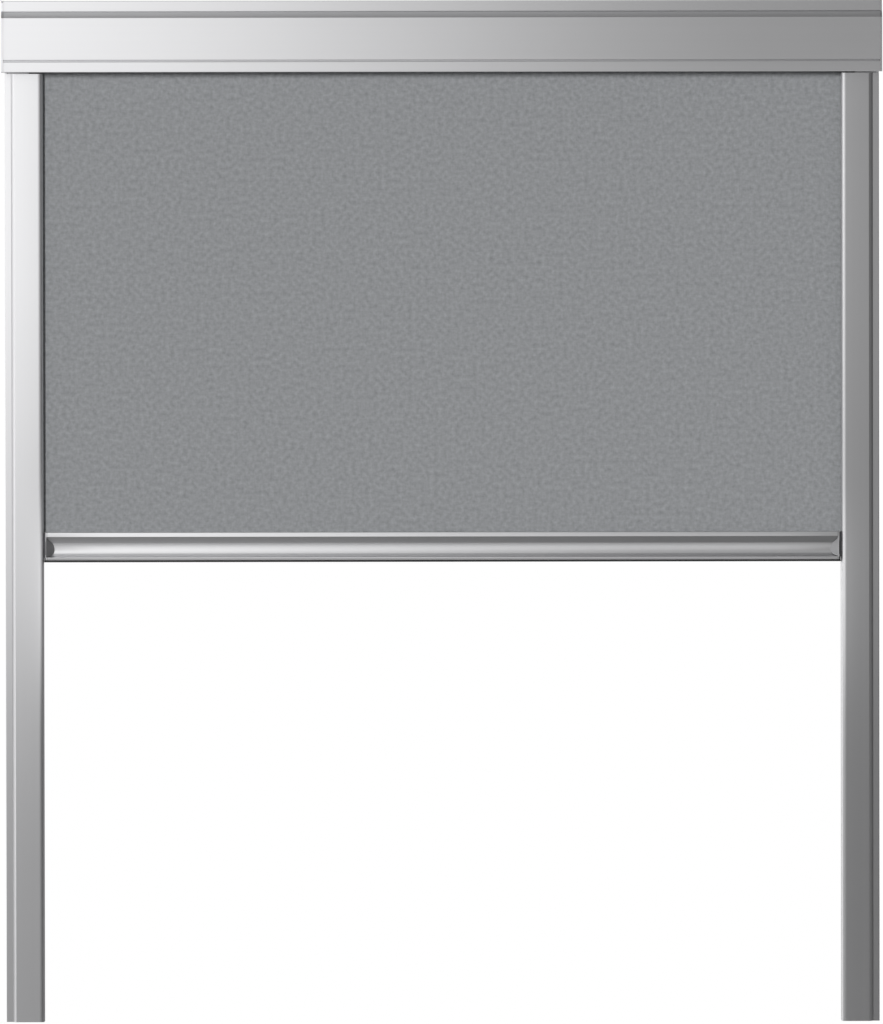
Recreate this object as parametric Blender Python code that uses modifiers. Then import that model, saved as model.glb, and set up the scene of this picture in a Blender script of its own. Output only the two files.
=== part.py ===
"""Cordless roller blind for a roof window, modelled from its real pieces.

The blind faces -Y. +X is to the right and +Z is up. The origin lies on the back
face of the head, at its middle. All sizes are in metres.
"""

import math

import bmesh
import bpy
from mathutils import Vector

# Overall sizes
RAIL_SPAN = 0.613
TOTAL_HEIGHT = 0.7165
CLOTH_DROP = 0.3226
FIT = 0.0003
EDGE_ROUND = 0.0006
FINE_ROUND = 0.0004
WELD = 0.000001

# Head: a rear shell and a snap-on front cover
HEAD_HEIGHT = 0.050
HEAD_DEPTH = 0.038
HEAD_OVERHANG = 0.0018
HEAD_WALL = 0.0014
STRIP_HEIGHT = 0.0069
STRIP_SETBACK = 0.008
STRIP_BEVEL = 0.0011
FACET_HEIGHT = 0.005
TONGUE_HEIGHT = 0.0035
FASCIA_CROWN = 0.0004
GROOVE_RISE = 0.0079
GROOVE_WIDTH = 0.0018
GROOVE_DEPTH = 0.0010
EXIT_SLOT = 0.005
EXIT_LIP = 0.0035
PORT_BORE = 0.0015
PORT_WALL = 0.0012
PORT_ROOT = 0.00005
PORT_MOUTH = 0.7
TOP_PORT_INSET = 0.008
REAR_PORT_DROP = 0.012
CASING_HOLE = 0.0045
CASING_HOLE_INSET = 0.058
CASING_HOLE_RISE = 0.0165
CASING_HOLE_REACH = 0.01

# End caps of the head
CAP_PLATE = 0.0014
SPIGOT_LENGTH = 0.007
SPIGOT_WALL = 0.0014
BOSS_RADIUS = 0.0068
FOOT_WIDTH = 0.0052
FOOT_LENGTH = 0.018
SCREW_SHANK = 0.0012
SCREW_HEAD = 0.0024
SCREW_LENGTH = 0.012

# Side rails
RAIL_WIDTH = 0.0267
RAIL_DEPTH = 0.019
RAIL_WALL = 0.0015
RAIL_LIP_ROUND = 0.0024
RAIL_LIP_RETURN = 0.0025
STEP_WIDTH = 0.0026
STEP_DEPTH = 0.0038
OUTER_STRIP = 0.0044
CHAMBER_DEPTH = 0.0071
RAIL_HOLE = 0.0042
RAIL_HOLE_INSET = 0.050
RAIL_HOLES = 3
PLUG_HEIGHT = 0.005
SEAL_WIDTH = 0.005
SEAL_THICKNESS = 0.0009
SEAL_INSET = 0.0032

# Cloth
CLOTH_THICKNESS = 0.00036
CLOTH_IN_RAIL = 0.0097
CLOTH_BEHIND_FACE = 0.007
ROLLED_LENGTH = 0.404

# Roller
TUBE_RADIUS = 0.0085
TUBE_WALL = 0.001
KEY_HALF_WIDTH = 0.0015
KEY_DEPTH = 0.0019
TUBE_INSET = 0.0098
ROLLER_RISE = 0.002
PLUG_FLANGE = 0.0015
PLUG_FLANGE_RADIUS = 0.0093
PLUG_LENGTH = 0.014
SHAFT_SIZE = 0.004
SHAFT_LENGTH = 0.168
COLLAR_RADIUS = 0.0046
COLLAR_LENGTH = 0.010
COLLAR_GAP = 0.002
DRIVER_LENGTH = 0.012
SPRING_COIL = 0.0041
SPRING_WIRE = 0.0005
SPRING_TURNS = 30
SPRING_POINTS = 8
PIN_RADIUS = 0.002
PIN_LENGTH = 0.0215
BUSH_WALL = 0.0017
BUSH_LENGTH = 0.0055

# Pull bar
BAR_HEIGHT = 0.0197
BAR_DEPTH = 0.0122
BAR_SETBACK = 0.0006
BAR_GAP = 0.0014
BAR_WALL = 0.0013
UPPER_LIP = 0.0032
LOWER_LIP = 0.0021
COVE_DEPTH = 0.006
CEILING_DEPTH = 0.0048
CEILING_DROP = 0.0047
BOWL_DROP = 0.0047
HEM_ROD_RADIUS = 0.0012
HEM_DROP = 0.0034
HEM_SLOT = 0.0014
HEM_PLAY = 0.0005
CAP_FLANGE = 0.0012
CAP_SLOPE = 0.0046
SEAL_LIP = 0.001
SEAL_STEM = 0.0018
SEAL_BEAD = 0.0038
SEAL_BEAD_HEIGHT = 0.0008
SEAL_KEEPER = 0.0007

# Glides and brakes
GLIDE_DEPTH = 0.006
GLIDE_REACH = 0.018
GLIDE_MARGIN = 0.001
GLIDE_FLANGE = 0.0008
GLIDE_STEM = 0.012
GLIDE_ROUND = 0.0012
SHOE_WIDTH = 0.0059
SHOE_HEIGHT = 0.0094
SHOE_INSET = 0.0111
SHOE_BODY = 0.0035
POCKET_DEPTH = 0.004
LEAF_THICKNESS = 0.0004
LEAF_BOW = 0.0008

# Places that follow from the sizes
HEAD_TOP = HEAD_HEIGHT / 2
HEAD_FOOT = -HEAD_HEIGHT / 2
HEAD_END = RAIL_SPAN / 2 + HEAD_OVERHANG
CAP_FACE = HEAD_END - CAP_PLATE
EXTRUSION_END = CAP_FACE - FIT
RAIL_OUT = RAIL_SPAN / 2
RAIL_IN = RAIL_OUT - RAIL_WIDTH
RAIL_TOP = HEAD_FOOT - FIT
RAIL_FOOT = HEAD_TOP - TOTAL_HEIGHT
STRIP_FACE = STRIP_SETBACK - HEAD_DEPTH
STRIP_FOOT = HEAD_TOP - STRIP_HEIGHT
FACET_TOP = STRIP_FOOT - FIT
FACET_FOOT = STRIP_FOOT - FACET_HEIGHT
DIVIDER_FACE = -CHAMBER_DEPTH - RAIL_WALL
CLOTH_PLANE = CLOTH_BEHIND_FACE - RAIL_DEPTH
CLOTH_EDGE = RAIL_IN + CLOTH_IN_RAIL
ROLL_RADIUS = math.sqrt(
    (TUBE_RADIUS + FIT) ** 2 + ROLLED_LENGTH * CLOTH_THICKNESS / math.pi
)
ROLLER_Y = CLOTH_PLANE - CLOTH_THICKNESS / 2 - FIT - ROLL_RADIUS
ROLLER_Z = ROLLER_RISE
TUBE_END = CAP_FACE - TUBE_INSET
BORE_RADIUS = TUBE_RADIUS - TUBE_WALL
BORE_KEY_FLOOR = TUBE_RADIUS - KEY_DEPTH - TUBE_WALL
BAR_TOP = HEAD_FOOT - CLOTH_DROP
BAR_FACE = BAR_SETBACK - RAIL_DEPTH
BAR_BACK = BAR_FACE + BAR_DEPTH
BAR_CAP_END = RAIL_IN - BAR_GAP
BAR_CAP_FACE = BAR_CAP_END - CAP_FLANGE
BAR_END = BAR_CAP_FACE - FIT
COVE_MIDDLE = -UPPER_LIP - CEILING_DROP - BOWL_DROP
COVE_FOOT = LOWER_LIP - BAR_HEIGHT
HEM_CAVITY = HEM_ROD_RADIUS + HEM_PLAY
SIDES = (("left", -1), ("right", 1))
BAR_TOOLS = (
    "tool_cheek_",
    "cutter_cheek_",
    "cutter_slope_",
    "tool_flange_",
    "tool_stem_",
    "cutter_pocket_",
)

FINISHES = {
    "aluminium": ((0.82, 0.82, 0.83), 0.32, 1.0),
    "silver_plastic": ((0.55, 0.55, 0.56), 0.42, 0.0),
    "dark_plastic": ((0.09, 0.09, 0.10), 0.5, 0.0),
    "nylon": ((0.55, 0.54, 0.50), 0.45, 0.0),
    "steel": ((0.55, 0.55, 0.56), 0.3, 1.0),
    "rubber": ((0.02, 0.02, 0.02), 0.8, 0.0),
    "felt": ((0.10, 0.10, 0.11), 1.0, 0.0),
    "cloth": ((0.27, 0.27, 0.28), 0.95, 0.0),
}


def empty_scene():
    """Remove whatever the file holds, and make the two collections."""
    for obj in list(bpy.data.objects):
        bpy.data.objects.remove(obj, do_unlink=True)
    for title in ("skylight_blind", "cutters"):
        group = bpy.data.collections.new(title)
        bpy.context.scene.collection.children.link(group)


def finish(obj, kind):
    """Give one piece its own material of the kind named."""
    colour, roughness, metallic = FINISHES[kind]
    material = bpy.data.materials.new(obj.name + "_" + kind)
    material.use_nodes = True
    shader = material.node_tree.nodes["Principled BSDF"]
    shader.inputs["Base Color"].default_value = (*colour, 1.0)
    shader.inputs["Roughness"].default_value = roughness
    shader.inputs["Metallic"].default_value = metallic
    obj.data.materials.clear()
    obj.data.materials.append(material)
    return obj


def link(name, data, kind=None):
    """Add an object to the blind, or to the cutters when it has no finish."""
    obj = bpy.data.objects.new(name, data)
    group = bpy.data.collections["skylight_blind" if kind else "cutters"]
    group.objects.link(obj)
    if kind:
        finish(obj, kind)
    else:
        obj.hide_render = True
        obj.display_type = "WIRE"
    return obj


def axis_empty(name, place):
    """An empty that carries the pieces of one moving body."""
    empty = bpy.data.objects.new(name, None)
    empty.location = place
    bpy.data.collections["skylight_blind"].objects.link(empty)
    return empty


def boolean(piece, tool, operation):
    """Join a tool to a piece, or cut it away."""
    step = piece.modifiers.new(operation.lower(), "BOOLEAN")
    step.operation = operation
    step.object = tool
    step.solver = "EXACT"
    return piece


def smooth(obj, angle=30):
    """Shade round faces smooth and keep real edges sharp."""
    obj.data.shade_smooth()
    obj.data.set_sharp_from_angle(angle=math.radians(angle))
    return obj


def arc(centre, radius, start, end, steps):
    """Points of an arc, with its angles in degrees."""
    turns = [math.radians(start + (end - start) * i / steps) for i in range(steps + 1)]
    return [
        (centre[0] + radius * math.cos(turn), centre[1] + radius * math.sin(turn))
        for turn in turns
    ]


def rounded(corners, steps=3):
    """A closed outline whose corners (a, b, radius) are rounded by arcs."""
    outline = []
    for index, (a, b, radius) in enumerate(corners):
        here = Vector((a, b))
        back = (Vector(corners[index - 1][:2]) - here).normalized()
        ahead = (Vector(corners[(index + 1) % len(corners)][:2]) - here).normalized()
        if radius <= 0:
            outline.append((a, b))
            continue
        half = back.angle(ahead) / 2
        centre = here + (back + ahead).normalized() * (radius / math.sin(half))
        reach = radius / math.tan(half)
        first = here + back * reach - centre
        last = here + ahead * reach - centre
        begin = math.atan2(first.y, first.x)
        sweep = math.atan2(last.y, last.x) - begin
        sweep = (sweep + math.pi) % (2 * math.pi) - math.pi
        outline += arc(
            centre, radius, math.degrees(begin), math.degrees(begin + sweep), steps
        )
    return outline


def beside(path, distance):
    """An open path moved sideways to its left by a distance, with mitred corners."""
    moved = []
    for index, point in enumerate(path):
        here = Vector(point)
        before = here - Vector(path[index - 1]) if index else None
        after = Vector(path[index + 1]) - here if index + 1 < len(path) else None
        first = (before or after).normalized()
        second = (after or before).normalized()
        left_one = Vector((-first.y, first.x))
        left_two = Vector((-second.y, second.x))
        blend = (left_one + left_two).normalized()
        shift = blend * (distance / blend.dot(left_one))
        moved.append((here.x + shift.x, here.y + shift.y))
    return moved


def box_corners(low, high, radius=0.0):
    """The four corners of a rectangle, each with a rounding."""
    return [
        (low[0], low[1], radius),
        (high[0], low[1], radius),
        (high[0], high[1], radius),
        (low[0], high[1], radius),
    ]


def extrude(name, outlines, start, end, direction, kind=None):
    """Carry one or more closed outlines along X or Z, from start to end.

    An outline along X is given in (y, z), and one along Z in (x, y). The second
    and later outlines are hollows in the first.
    """
    curve = bpy.data.curves.new(name, "CURVE")
    curve.dimensions = "2D"
    curve.fill_mode = "BOTH"
    curve.extrude = abs(end - start) / 2
    for outline in outlines:
        spline = curve.splines.new("POLY")
        spline.points.add(len(outline) - 1)
        for point, (a, b) in zip(spline.points, outline):
            point.co = (a, b, 0.0, 1.0)
        spline.use_cyclic_u = True
    guide = link(name + "_outline", curve)
    middle = (start + end) / 2
    if direction == "X":
        guide.location = (middle, 0.0, 0.0)
        guide.rotation_euler = (math.radians(90), 0.0, math.radians(90))
    else:
        guide.location = (0.0, 0.0, middle)
    bpy.context.view_layer.update()
    graph = bpy.context.evaluated_depsgraph_get()
    mesh = bpy.data.meshes.new_from_object(guide.evaluated_get(graph))
    mesh.name = name
    work = bmesh.new()
    work.from_mesh(mesh)
    bmesh.ops.remove_doubles(work, verts=work.verts, dist=WELD)
    bmesh.ops.recalc_face_normals(work, faces=work.faces)
    work.to_mesh(mesh)
    work.free()
    solid = link(name, mesh, kind)
    solid.matrix_world = guide.matrix_world
    bpy.data.objects.remove(guide, do_unlink=True)
    return smooth(solid)


def block(name, low, high, kind=None):
    """A box between two opposite corners."""
    mesh = bpy.data.meshes.new(name)
    work = bmesh.new()
    bmesh.ops.create_cube(work, size=1.0)
    size = [b - a for a, b in zip(low, high)]
    bmesh.ops.scale(work, vec=size, verts=work.verts)
    work.to_mesh(mesh)
    work.free()
    obj = link(name, mesh, kind)
    obj.location = [(a + b) / 2 for a, b in zip(low, high)]
    return obj


def turned(name, profile, place, kind=None, steps=32, facing=1):
    """A shape turned about an axis along X.

    The profile holds (radius, distance along the axis) from the far end, down the
    outer side. Facing -1 turns the shape round, end for end.
    """
    mesh = bpy.data.meshes.new(name)
    points = [(radius, 0.0, along) for radius, along in profile]
    edges = [(i, i + 1) for i in range(len(points) - 1)]
    if profile[0][0] > 0:
        edges.append((len(points) - 1, 0))
    mesh.from_pydata(points, edges, [])
    obj = link(name, mesh, kind)
    lathe = obj.modifiers.new("lathe", "SCREW")
    lathe.axis = "Z"
    lathe.steps = steps
    lathe.render_steps = steps
    lathe.use_merge_vertices = True
    lathe.merge_threshold = 0.00001
    lathe.use_smooth_shade = False
    obj.location = place
    obj.rotation_euler = (0.0, facing * math.radians(90), 0.0)
    return obj


def rod(name, radius, start, end, axis, kind=None, steps=24):
    """A plain round rod along X, at the (y, z) of its axis."""
    profile = [(0.0, end - start), (radius, end - start), (radius, 0.0), (0.0, 0.0)]
    return turned(name, profile, (start, axis[0], axis[1]), kind, steps)


def port(centre, wall_side, turn):
    """An open screw channel on a wall, as outline points.

    The channel is a C in section. Its back sits on the wall, wall_side away from
    its centre, and turn is the direction in degrees in which it opens.
    """
    outer = PORT_BORE + PORT_WALL
    spread = math.degrees(math.asin((wall_side - PORT_ROOT) / outer))
    mouth = math.degrees(math.asin(PORT_BORE * PORT_MOUTH / outer))
    throat = math.degrees(math.asin(PORT_MOUTH))
    return (
        arc(centre, outer, turn + 90 + spread, turn + mouth, 8)
        + arc(centre, PORT_BORE, turn + throat, turn + 360 - throat, 10)
        + arc(centre, outer, turn - mouth, turn - 90 - spread, 8)
    )


def port_places():
    """The (y, z) of the two screw channels in the rear shell."""
    bedded = PORT_BORE + HEAD_WALL / 2
    top = (-TOP_PORT_INSET, HEAD_TOP - HEAD_WALL - bedded)
    rear = (-HEAD_WALL - bedded, -REAR_PORT_DROP)
    return top, rear, bedded


def casing():
    """The rear shell: back, top, front strip and rear lip of the exit slot."""
    top_port, rear_port, bedded = port_places()
    slot_rear = CLOTH_PLANE + EXIT_SLOT / 2
    outside = [
        (slot_rear, HEAD_FOOT),
        (0.0, HEAD_FOOT),
        (0.0, HEAD_TOP),
        (STRIP_FACE + STRIP_BEVEL, HEAD_TOP),
        (STRIP_FACE, HEAD_TOP - STRIP_BEVEL),
        (STRIP_FACE, STRIP_FOOT),
    ]
    strip_back = STRIP_FACE + HEAD_WALL
    ceiling = HEAD_TOP - HEAD_WALL
    floor = HEAD_FOOT + HEAD_WALL
    inside = [(strip_back, STRIP_FOOT), (strip_back, ceiling)]
    inside += port(top_port, bedded, -90)[::-1]
    inside += [(-HEAD_WALL, ceiling)]
    inside += port(rear_port, bedded, 180)[::-1]
    inside += [
        (-HEAD_WALL, floor),
        (slot_rear + HEAD_WALL, floor),
        (slot_rear + HEAD_WALL, HEAD_FOOT + EXIT_LIP),
        (slot_rear, HEAD_FOOT + EXIT_LIP),
    ]
    shell = extrude(
        "casing", [outside + inside], -EXTRUSION_END, EXTRUSION_END, "X", "aluminium"
    )
    for side, sign in SIDES:
        reach = CASING_HOLE_REACH
        hole = rod("cutter_casing_hole_" + side, CASING_HOLE / 2, -reach, reach, (0, 0))
        hole.location = (sign * (HEAD_END - CASING_HOLE_INSET), reach, CASING_HOLE_RISE)
        hole.rotation_euler = (math.radians(90), 0.0, 0.0)
        boolean(shell, hole, "DIFFERENCE")
        low, high = foot_corners(sign, FIT)
        boolean(shell, block("cutter_casing_foot_" + side, low, high), "DIFFERENCE")
    return shell


def cover_path():
    """The outer face of the front cover, from the strip to the exit slot."""
    face = -HEAD_DEPTH
    groove = HEAD_FOOT + GROOVE_RISE
    groove_top = groove + GROOVE_WIDTH / 2
    fascia = FACET_FOOT - groove_top
    crown = []
    for i in range(9):
        share = i / 8
        bulge = FASCIA_CROWN * (1 - (2 * share - 1) ** 2)
        crown.append((face + FASCIA_CROWN - bulge, FACET_FOOT - fascia * share))
    tongue = STRIP_FACE + HEAD_WALL + FIT
    return [
        (tongue, FACET_TOP + TONGUE_HEIGHT),
        (tongue, FACET_TOP),
        (STRIP_FACE, FACET_TOP),
        *crown,
        (face + GROOVE_DEPTH, groove),
        (face + FASCIA_CROWN, groove - GROOVE_WIDTH / 2),
        (face + FASCIA_CROWN, HEAD_FOOT + EDGE_ROUND),
        (face + FASCIA_CROWN + EDGE_ROUND, HEAD_FOOT),
        (CLOTH_PLANE - EXIT_SLOT / 2, HEAD_FOOT),
        (CLOTH_PLANE - EXIT_SLOT / 2, HEAD_FOOT + EXIT_LIP),
    ]


def front_cover():
    """The snap-on cover: sloping facet, fascia, groove and exit lip."""
    outside = cover_path()
    inside = beside(outside, HEAD_WALL)
    return extrude(
        "front_cover",
        [outside + inside[::-1]],
        -EXTRUSION_END,
        EXTRUSION_END,
        "X",
        "aluminium",
    )


def foot_corners(sign, grow=0.0):
    """Corners of the end cap's foot, which drops into the rail's chamber."""
    outer = RAIL_OUT - RAIL_WALL - FIT
    inner = outer - FOOT_WIDTH
    low_x, high_x = sorted((sign * inner, sign * outer))
    spigot_foot = HEAD_FOOT + EXIT_LIP + FIT
    low = (low_x - grow, FIT - CHAMBER_DEPTH - grow, RAIL_TOP - FOOT_LENGTH - grow)
    high = (high_x + grow, -RAIL_WALL - FIT + grow, spigot_foot + SPIGOT_WALL / 2 + grow)
    return low, high


def end_cap(side, sign):
    """A moulded end cap: plate, spigot, bearing boss, rail foot and screw holes."""
    name = "end_cap_" + side
    cover = cover_path()
    plate = rounded(
        [
            (0.0, HEAD_FOOT, EDGE_ROUND),
            (0.0, HEAD_TOP, EDGE_ROUND),
            (STRIP_FACE + STRIP_BEVEL, HEAD_TOP, 0.0),
            (STRIP_FACE, HEAD_TOP - STRIP_BEVEL, 0.0),
            (STRIP_FACE, FACET_TOP, 0.0),
            (-HEAD_DEPTH, FACET_FOOT, 0.0),
            (-HEAD_DEPTH, HEAD_FOOT, EDGE_ROUND),
        ]
    )
    cap = extrude(name, [plate], sign * CAP_FACE, sign * HEAD_END, "X", "silver_plastic")
    rear = -HEAD_WALL - FIT
    ceiling = HEAD_TOP - HEAD_WALL - FIT
    bed = HEAD_FOOT + EXIT_LIP + FIT
    tongue = cover[0][0] + HEAD_WALL + FIT
    front = FASCIA_CROWN + GROOVE_DEPTH + HEAD_WALL + FIT - HEAD_DEPTH
    rim = [
        (rear, bed),
        (rear, ceiling),
        (tongue, ceiling),
        (tongue, FACET_TOP - HEAD_WALL - FIT),
        (front, FACET_FOOT - HEAD_WALL),
        (front, bed),
    ]
    hollow = beside(rim + rim[:1], SPIGOT_WALL)
    hollow[0] = (rear - SPIGOT_WALL, bed + SPIGOT_WALL)
    reach = (sign * (CAP_FACE - SPIGOT_LENGTH), sign * (CAP_FACE + CAP_PLATE / 2))
    spigot = extrude("tool_spigot_" + side, [rim, hollow[:-1]], *reach, "X")
    boolean(cap, spigot, "UNION")
    top_port, rear_port, _ = port_places()
    for where, place in (("top", top_port), ("rear", rear_port)):
        grown = PORT_BORE + PORT_WALL + FIT
        inner = CAP_FACE - SPIGOT_LENGTH - FIT
        ends = sorted((sign * inner, sign * (CAP_FACE - FIT / 2)))
        room = rod("cutter_port_" + where + "_" + side, grown, *ends, place)
        boolean(cap, room, "DIFFERENCE")
    axis = (ROLLER_Y, ROLLER_Z)
    ends = sorted((sign * (CAP_FACE - SPIGOT_LENGTH), sign * (CAP_FACE + CAP_PLATE / 2)))
    boolean(cap, rod("tool_boss_" + side, BOSS_RADIUS, *ends, axis), "UNION")
    low, high = foot_corners(sign)
    boolean(cap, block("tool_foot_" + side, low, high), "UNION")
    socket_start = CAP_FACE - SPIGOT_LENGTH - FIT
    ends = sorted((sign * socket_start, sign * (CAP_FACE - FIT)))
    if side == "left":
        half = SHAFT_SIZE / 2 + FIT
        low = (ends[0], ROLLER_Y - half, ROLLER_Z - half)
        high = (ends[1], ROLLER_Y + half, ROLLER_Z + half)
        boolean(cap, block("cutter_socket_left", low, high), "DIFFERENCE")
    else:
        radius = PIN_RADIUS + FIT + BUSH_WALL + FIT
        bore = extrude("cutter_socket_right", [circle(radius, 28)], *ends, "X")
        boolean(cap, bore, "DIFFERENCE")
    for where, place in (("top", top_port), ("rear", rear_port)):
        sink = turned(
            "cutter_sink_" + where + "_" + side,
            screw_profile(FIT, FIT),
            (sign * (HEAD_END + FIT), place[0], place[1]),
            steps=16,
            facing=-sign,
        )
        boolean(cap, sink, "DIFFERENCE")
    return cap


def screw_profile(grow=0.0, proud=0.0):
    """A countersunk screw, its flat head at distance 0 and its shank beyond."""
    depth = SCREW_HEAD - SCREW_SHANK
    return [
        (0.0, SCREW_LENGTH + proud + grow),
        (SCREW_SHANK + grow, SCREW_LENGTH + proud + grow),
        (SCREW_SHANK + grow, depth + proud + grow),
        (SCREW_HEAD + grow, proud + grow),
        (SCREW_HEAD + grow, 0.0),
        (0.0, 0.0),
    ]


def end_cap_screws(side, sign):
    """Two self-tapping screws that hold an end cap to the rear shell."""
    places = port_places()[:2]
    for where, place in zip(("top", "rear"), places):
        turned(
            "end_cap_screw_" + side + "_" + where,
            screw_profile(),
            (sign * (HEAD_END - FIT / 2), place[0], place[1]),
            "steel",
            steps=16,
            facing=-sign,
        )


def rail_front_path():
    """The rail's front faces, from its curled inner lip out, in (outward, y)."""
    step = RAIL_WIDTH - OUTER_STRIP
    return [
        (0.0, RAIL_LIP_RETURN - RAIL_DEPTH),
        (0.0, -RAIL_DEPTH),
        (step - STEP_WIDTH, -RAIL_DEPTH),
        (step, STEP_DEPTH - RAIL_DEPTH),
        (RAIL_WIDTH, STEP_DEPTH - RAIL_DEPTH),
        (RAIL_WIDTH, DIVIDER_FACE),
    ]


def side_rail(side, sign):
    """A rail: a channel that opens inwards, in front of a closed chamber."""
    front = rail_front_path()
    inner = beside(front, RAIL_WALL)
    rounds = (0.0, RAIL_LIP_ROUND, FINE_ROUND, FINE_ROUND, FINE_ROUND)
    corners = [(a, b, r) for (a, b), r in zip(front, rounds)]
    corners += [(RAIL_WIDTH, 0.0, FINE_ROUND), (0.0, 0.0, FINE_ROUND)]
    corners += [(0.0, DIVIDER_FACE, 0.0)]
    inner_rounds = (0.0, RAIL_LIP_ROUND - RAIL_WALL, 0.0, 0.0, 0.0, 0.0)
    corners += [(a, b, r) for (a, b), r in zip(inner[::-1], inner_rounds[::-1])]
    outline = [(sign * (RAIL_IN + a), b) for a, b in rounded(corners)]
    low = (RAIL_WALL, -CHAMBER_DEPTH)
    high = (RAIL_WIDTH - RAIL_WALL, -RAIL_WALL)
    chamber = [(sign * (RAIL_IN + a), b) for a, b, _ in box_corners(low, high)]
    rail = extrude(
        "rail_" + side, [outline, chamber], RAIL_FOOT, RAIL_TOP, "Z", "aluminium"
    )
    middle_y = (STEP_DEPTH - RAIL_DEPTH + DIVIDER_FACE) / 2
    first = RAIL_TOP - RAIL_HOLE_INSET
    pitch = (RAIL_FOOT + RAIL_HOLE_INSET - first) / (RAIL_HOLES - 1)
    for index in range(RAIL_HOLES):
        ends = sorted((sign * (RAIL_OUT - 2 * RAIL_WALL), sign * (RAIL_OUT + RAIL_WALL)))
        hole = rod(
            "cutter_rail_hole_" + side + "_" + str(index + 1),
            RAIL_HOLE / 2,
            *ends,
            (middle_y, first + pitch * index),
        )
        boolean(rail, hole, "DIFFERENCE")
    return rail


def rail_plug(side, sign):
    """The plug at the foot of a rail, which stops the glide."""
    shape = [(a, b, 0.0) for a, b in beside(rail_front_path(), RAIL_WALL + FIT)]
    behind_lip = shape[0][1] + FIT
    shape[0] = (shape[0][0], behind_lip, 0.0)
    shape[1] = (*shape[1][:2], EDGE_ROUND)
    shape[-1] = (shape[-1][0], DIVIDER_FACE - FIT, 0.0)
    shape += [(FIT, DIVIDER_FACE - FIT, 0.0), (FIT, behind_lip, 0.0)]
    outline = [(sign * (RAIL_IN + a), b) for a, b in rounded(shape)]
    top = RAIL_FOOT + PLUG_HEIGHT
    return extrude("rail_plug_" + side, [outline], RAIL_FOOT, top, "Z", "dark_plastic")


def light_seal(side, sign):
    """A felt strip behind the cloth edge, along the rail."""
    near = sign * (RAIL_IN + SEAL_INSET)
    far = sign * (RAIL_IN + SEAL_INSET + SEAL_WIDTH)
    low_x, high_x = sorted((near, far))
    back = DIVIDER_FACE - FIT
    low = (low_x, back - SEAL_THICKNESS, RAIL_FOOT + PLUG_HEIGHT + FIT)
    return block("light_seal_" + side, low, (high_x, back, RAIL_TOP), "felt")


def keyed_circle(radius, half_width, floor, steps=40):
    """A circle with a key slot that faces forwards, about the roller's axis."""
    edge = math.degrees(math.asin(half_width / radius))
    ring = arc((0.0, 0.0), radius, 180 + edge, 540 - edge, steps)
    points = ring + [(-floor, half_width), (-floor, -half_width)]
    return [(ROLLER_Y + a, ROLLER_Z + b) for a, b in points]


def circle(radius, steps=40):
    """A circle about the roller's axis."""
    ring = arc((ROLLER_Y, ROLLER_Z), radius, 0, 360, steps)
    return ring[:-1]


def plug_outline():
    """What fits the keyed bore of the tube."""
    return keyed_circle(
        BORE_RADIUS - FIT, KEY_HALF_WIDTH + TUBE_WALL + FIT, BORE_KEY_FLOOR - FIT
    )


def roller_tube():
    """The tube, whose key slot holds the cloth and turns the plugs."""
    outer = keyed_circle(TUBE_RADIUS, KEY_HALF_WIDTH, TUBE_RADIUS - KEY_DEPTH, 48)
    bore = keyed_circle(BORE_RADIUS, KEY_HALF_WIDTH + TUBE_WALL, BORE_KEY_FLOOR)
    return extrude("roller_tube", [outer, bore], -TUBE_END, TUBE_END, "X", "aluminium")


def cloth_strip():
    """The plastic strip that locks the cloth in the tube's key slot."""
    top = TUBE_RADIUS - FIT
    floor = TUBE_RADIUS - KEY_DEPTH + FIT
    half = KEY_HALF_WIDTH - FIT
    low = (-CLOTH_EDGE, ROLLER_Y - top, ROLLER_Z - half)
    high = (CLOTH_EDGE, ROLLER_Y - floor, ROLLER_Z + half)
    return block("cloth_lock_strip", low, high, "nylon")


def cloth_roll():
    """The cloth on the tube: a spiral whose outer layer ends in a step."""
    steps = 56
    spiral = []
    for i in range(steps + 1):
        turn = 2 * math.pi * i / steps
        radius = ROLL_RADIUS - CLOTH_THICKNESS * i / steps
        spiral.append(
            (ROLLER_Y + radius * math.cos(turn), ROLLER_Z + radius * math.sin(turn))
        )
    core = circle(TUBE_RADIUS + FIT, 48)
    return extrude("cloth_roll", [spiral, core], -CLOTH_EDGE, CLOTH_EDGE, "X", "cloth")


def tube_plug(name, sign, bore, kind):
    """A flanged plug in one end of the tube."""
    face = TUBE_END + FIT
    flange_ends = (sign * face, sign * (face + PLUG_FLANGE))
    round_bore = circle(bore, 24)
    plug = extrude(name, [circle(PLUG_FLANGE_RADIUS), round_bore], *flange_ends, "X", kind)
    reach = (sign * (face - PLUG_LENGTH), sign * (face + PLUG_FLANGE / 2))
    body = extrude("tool_" + name, [plug_outline(), round_bore], *reach, "X")
    return boolean(plug, body, "UNION")


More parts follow.
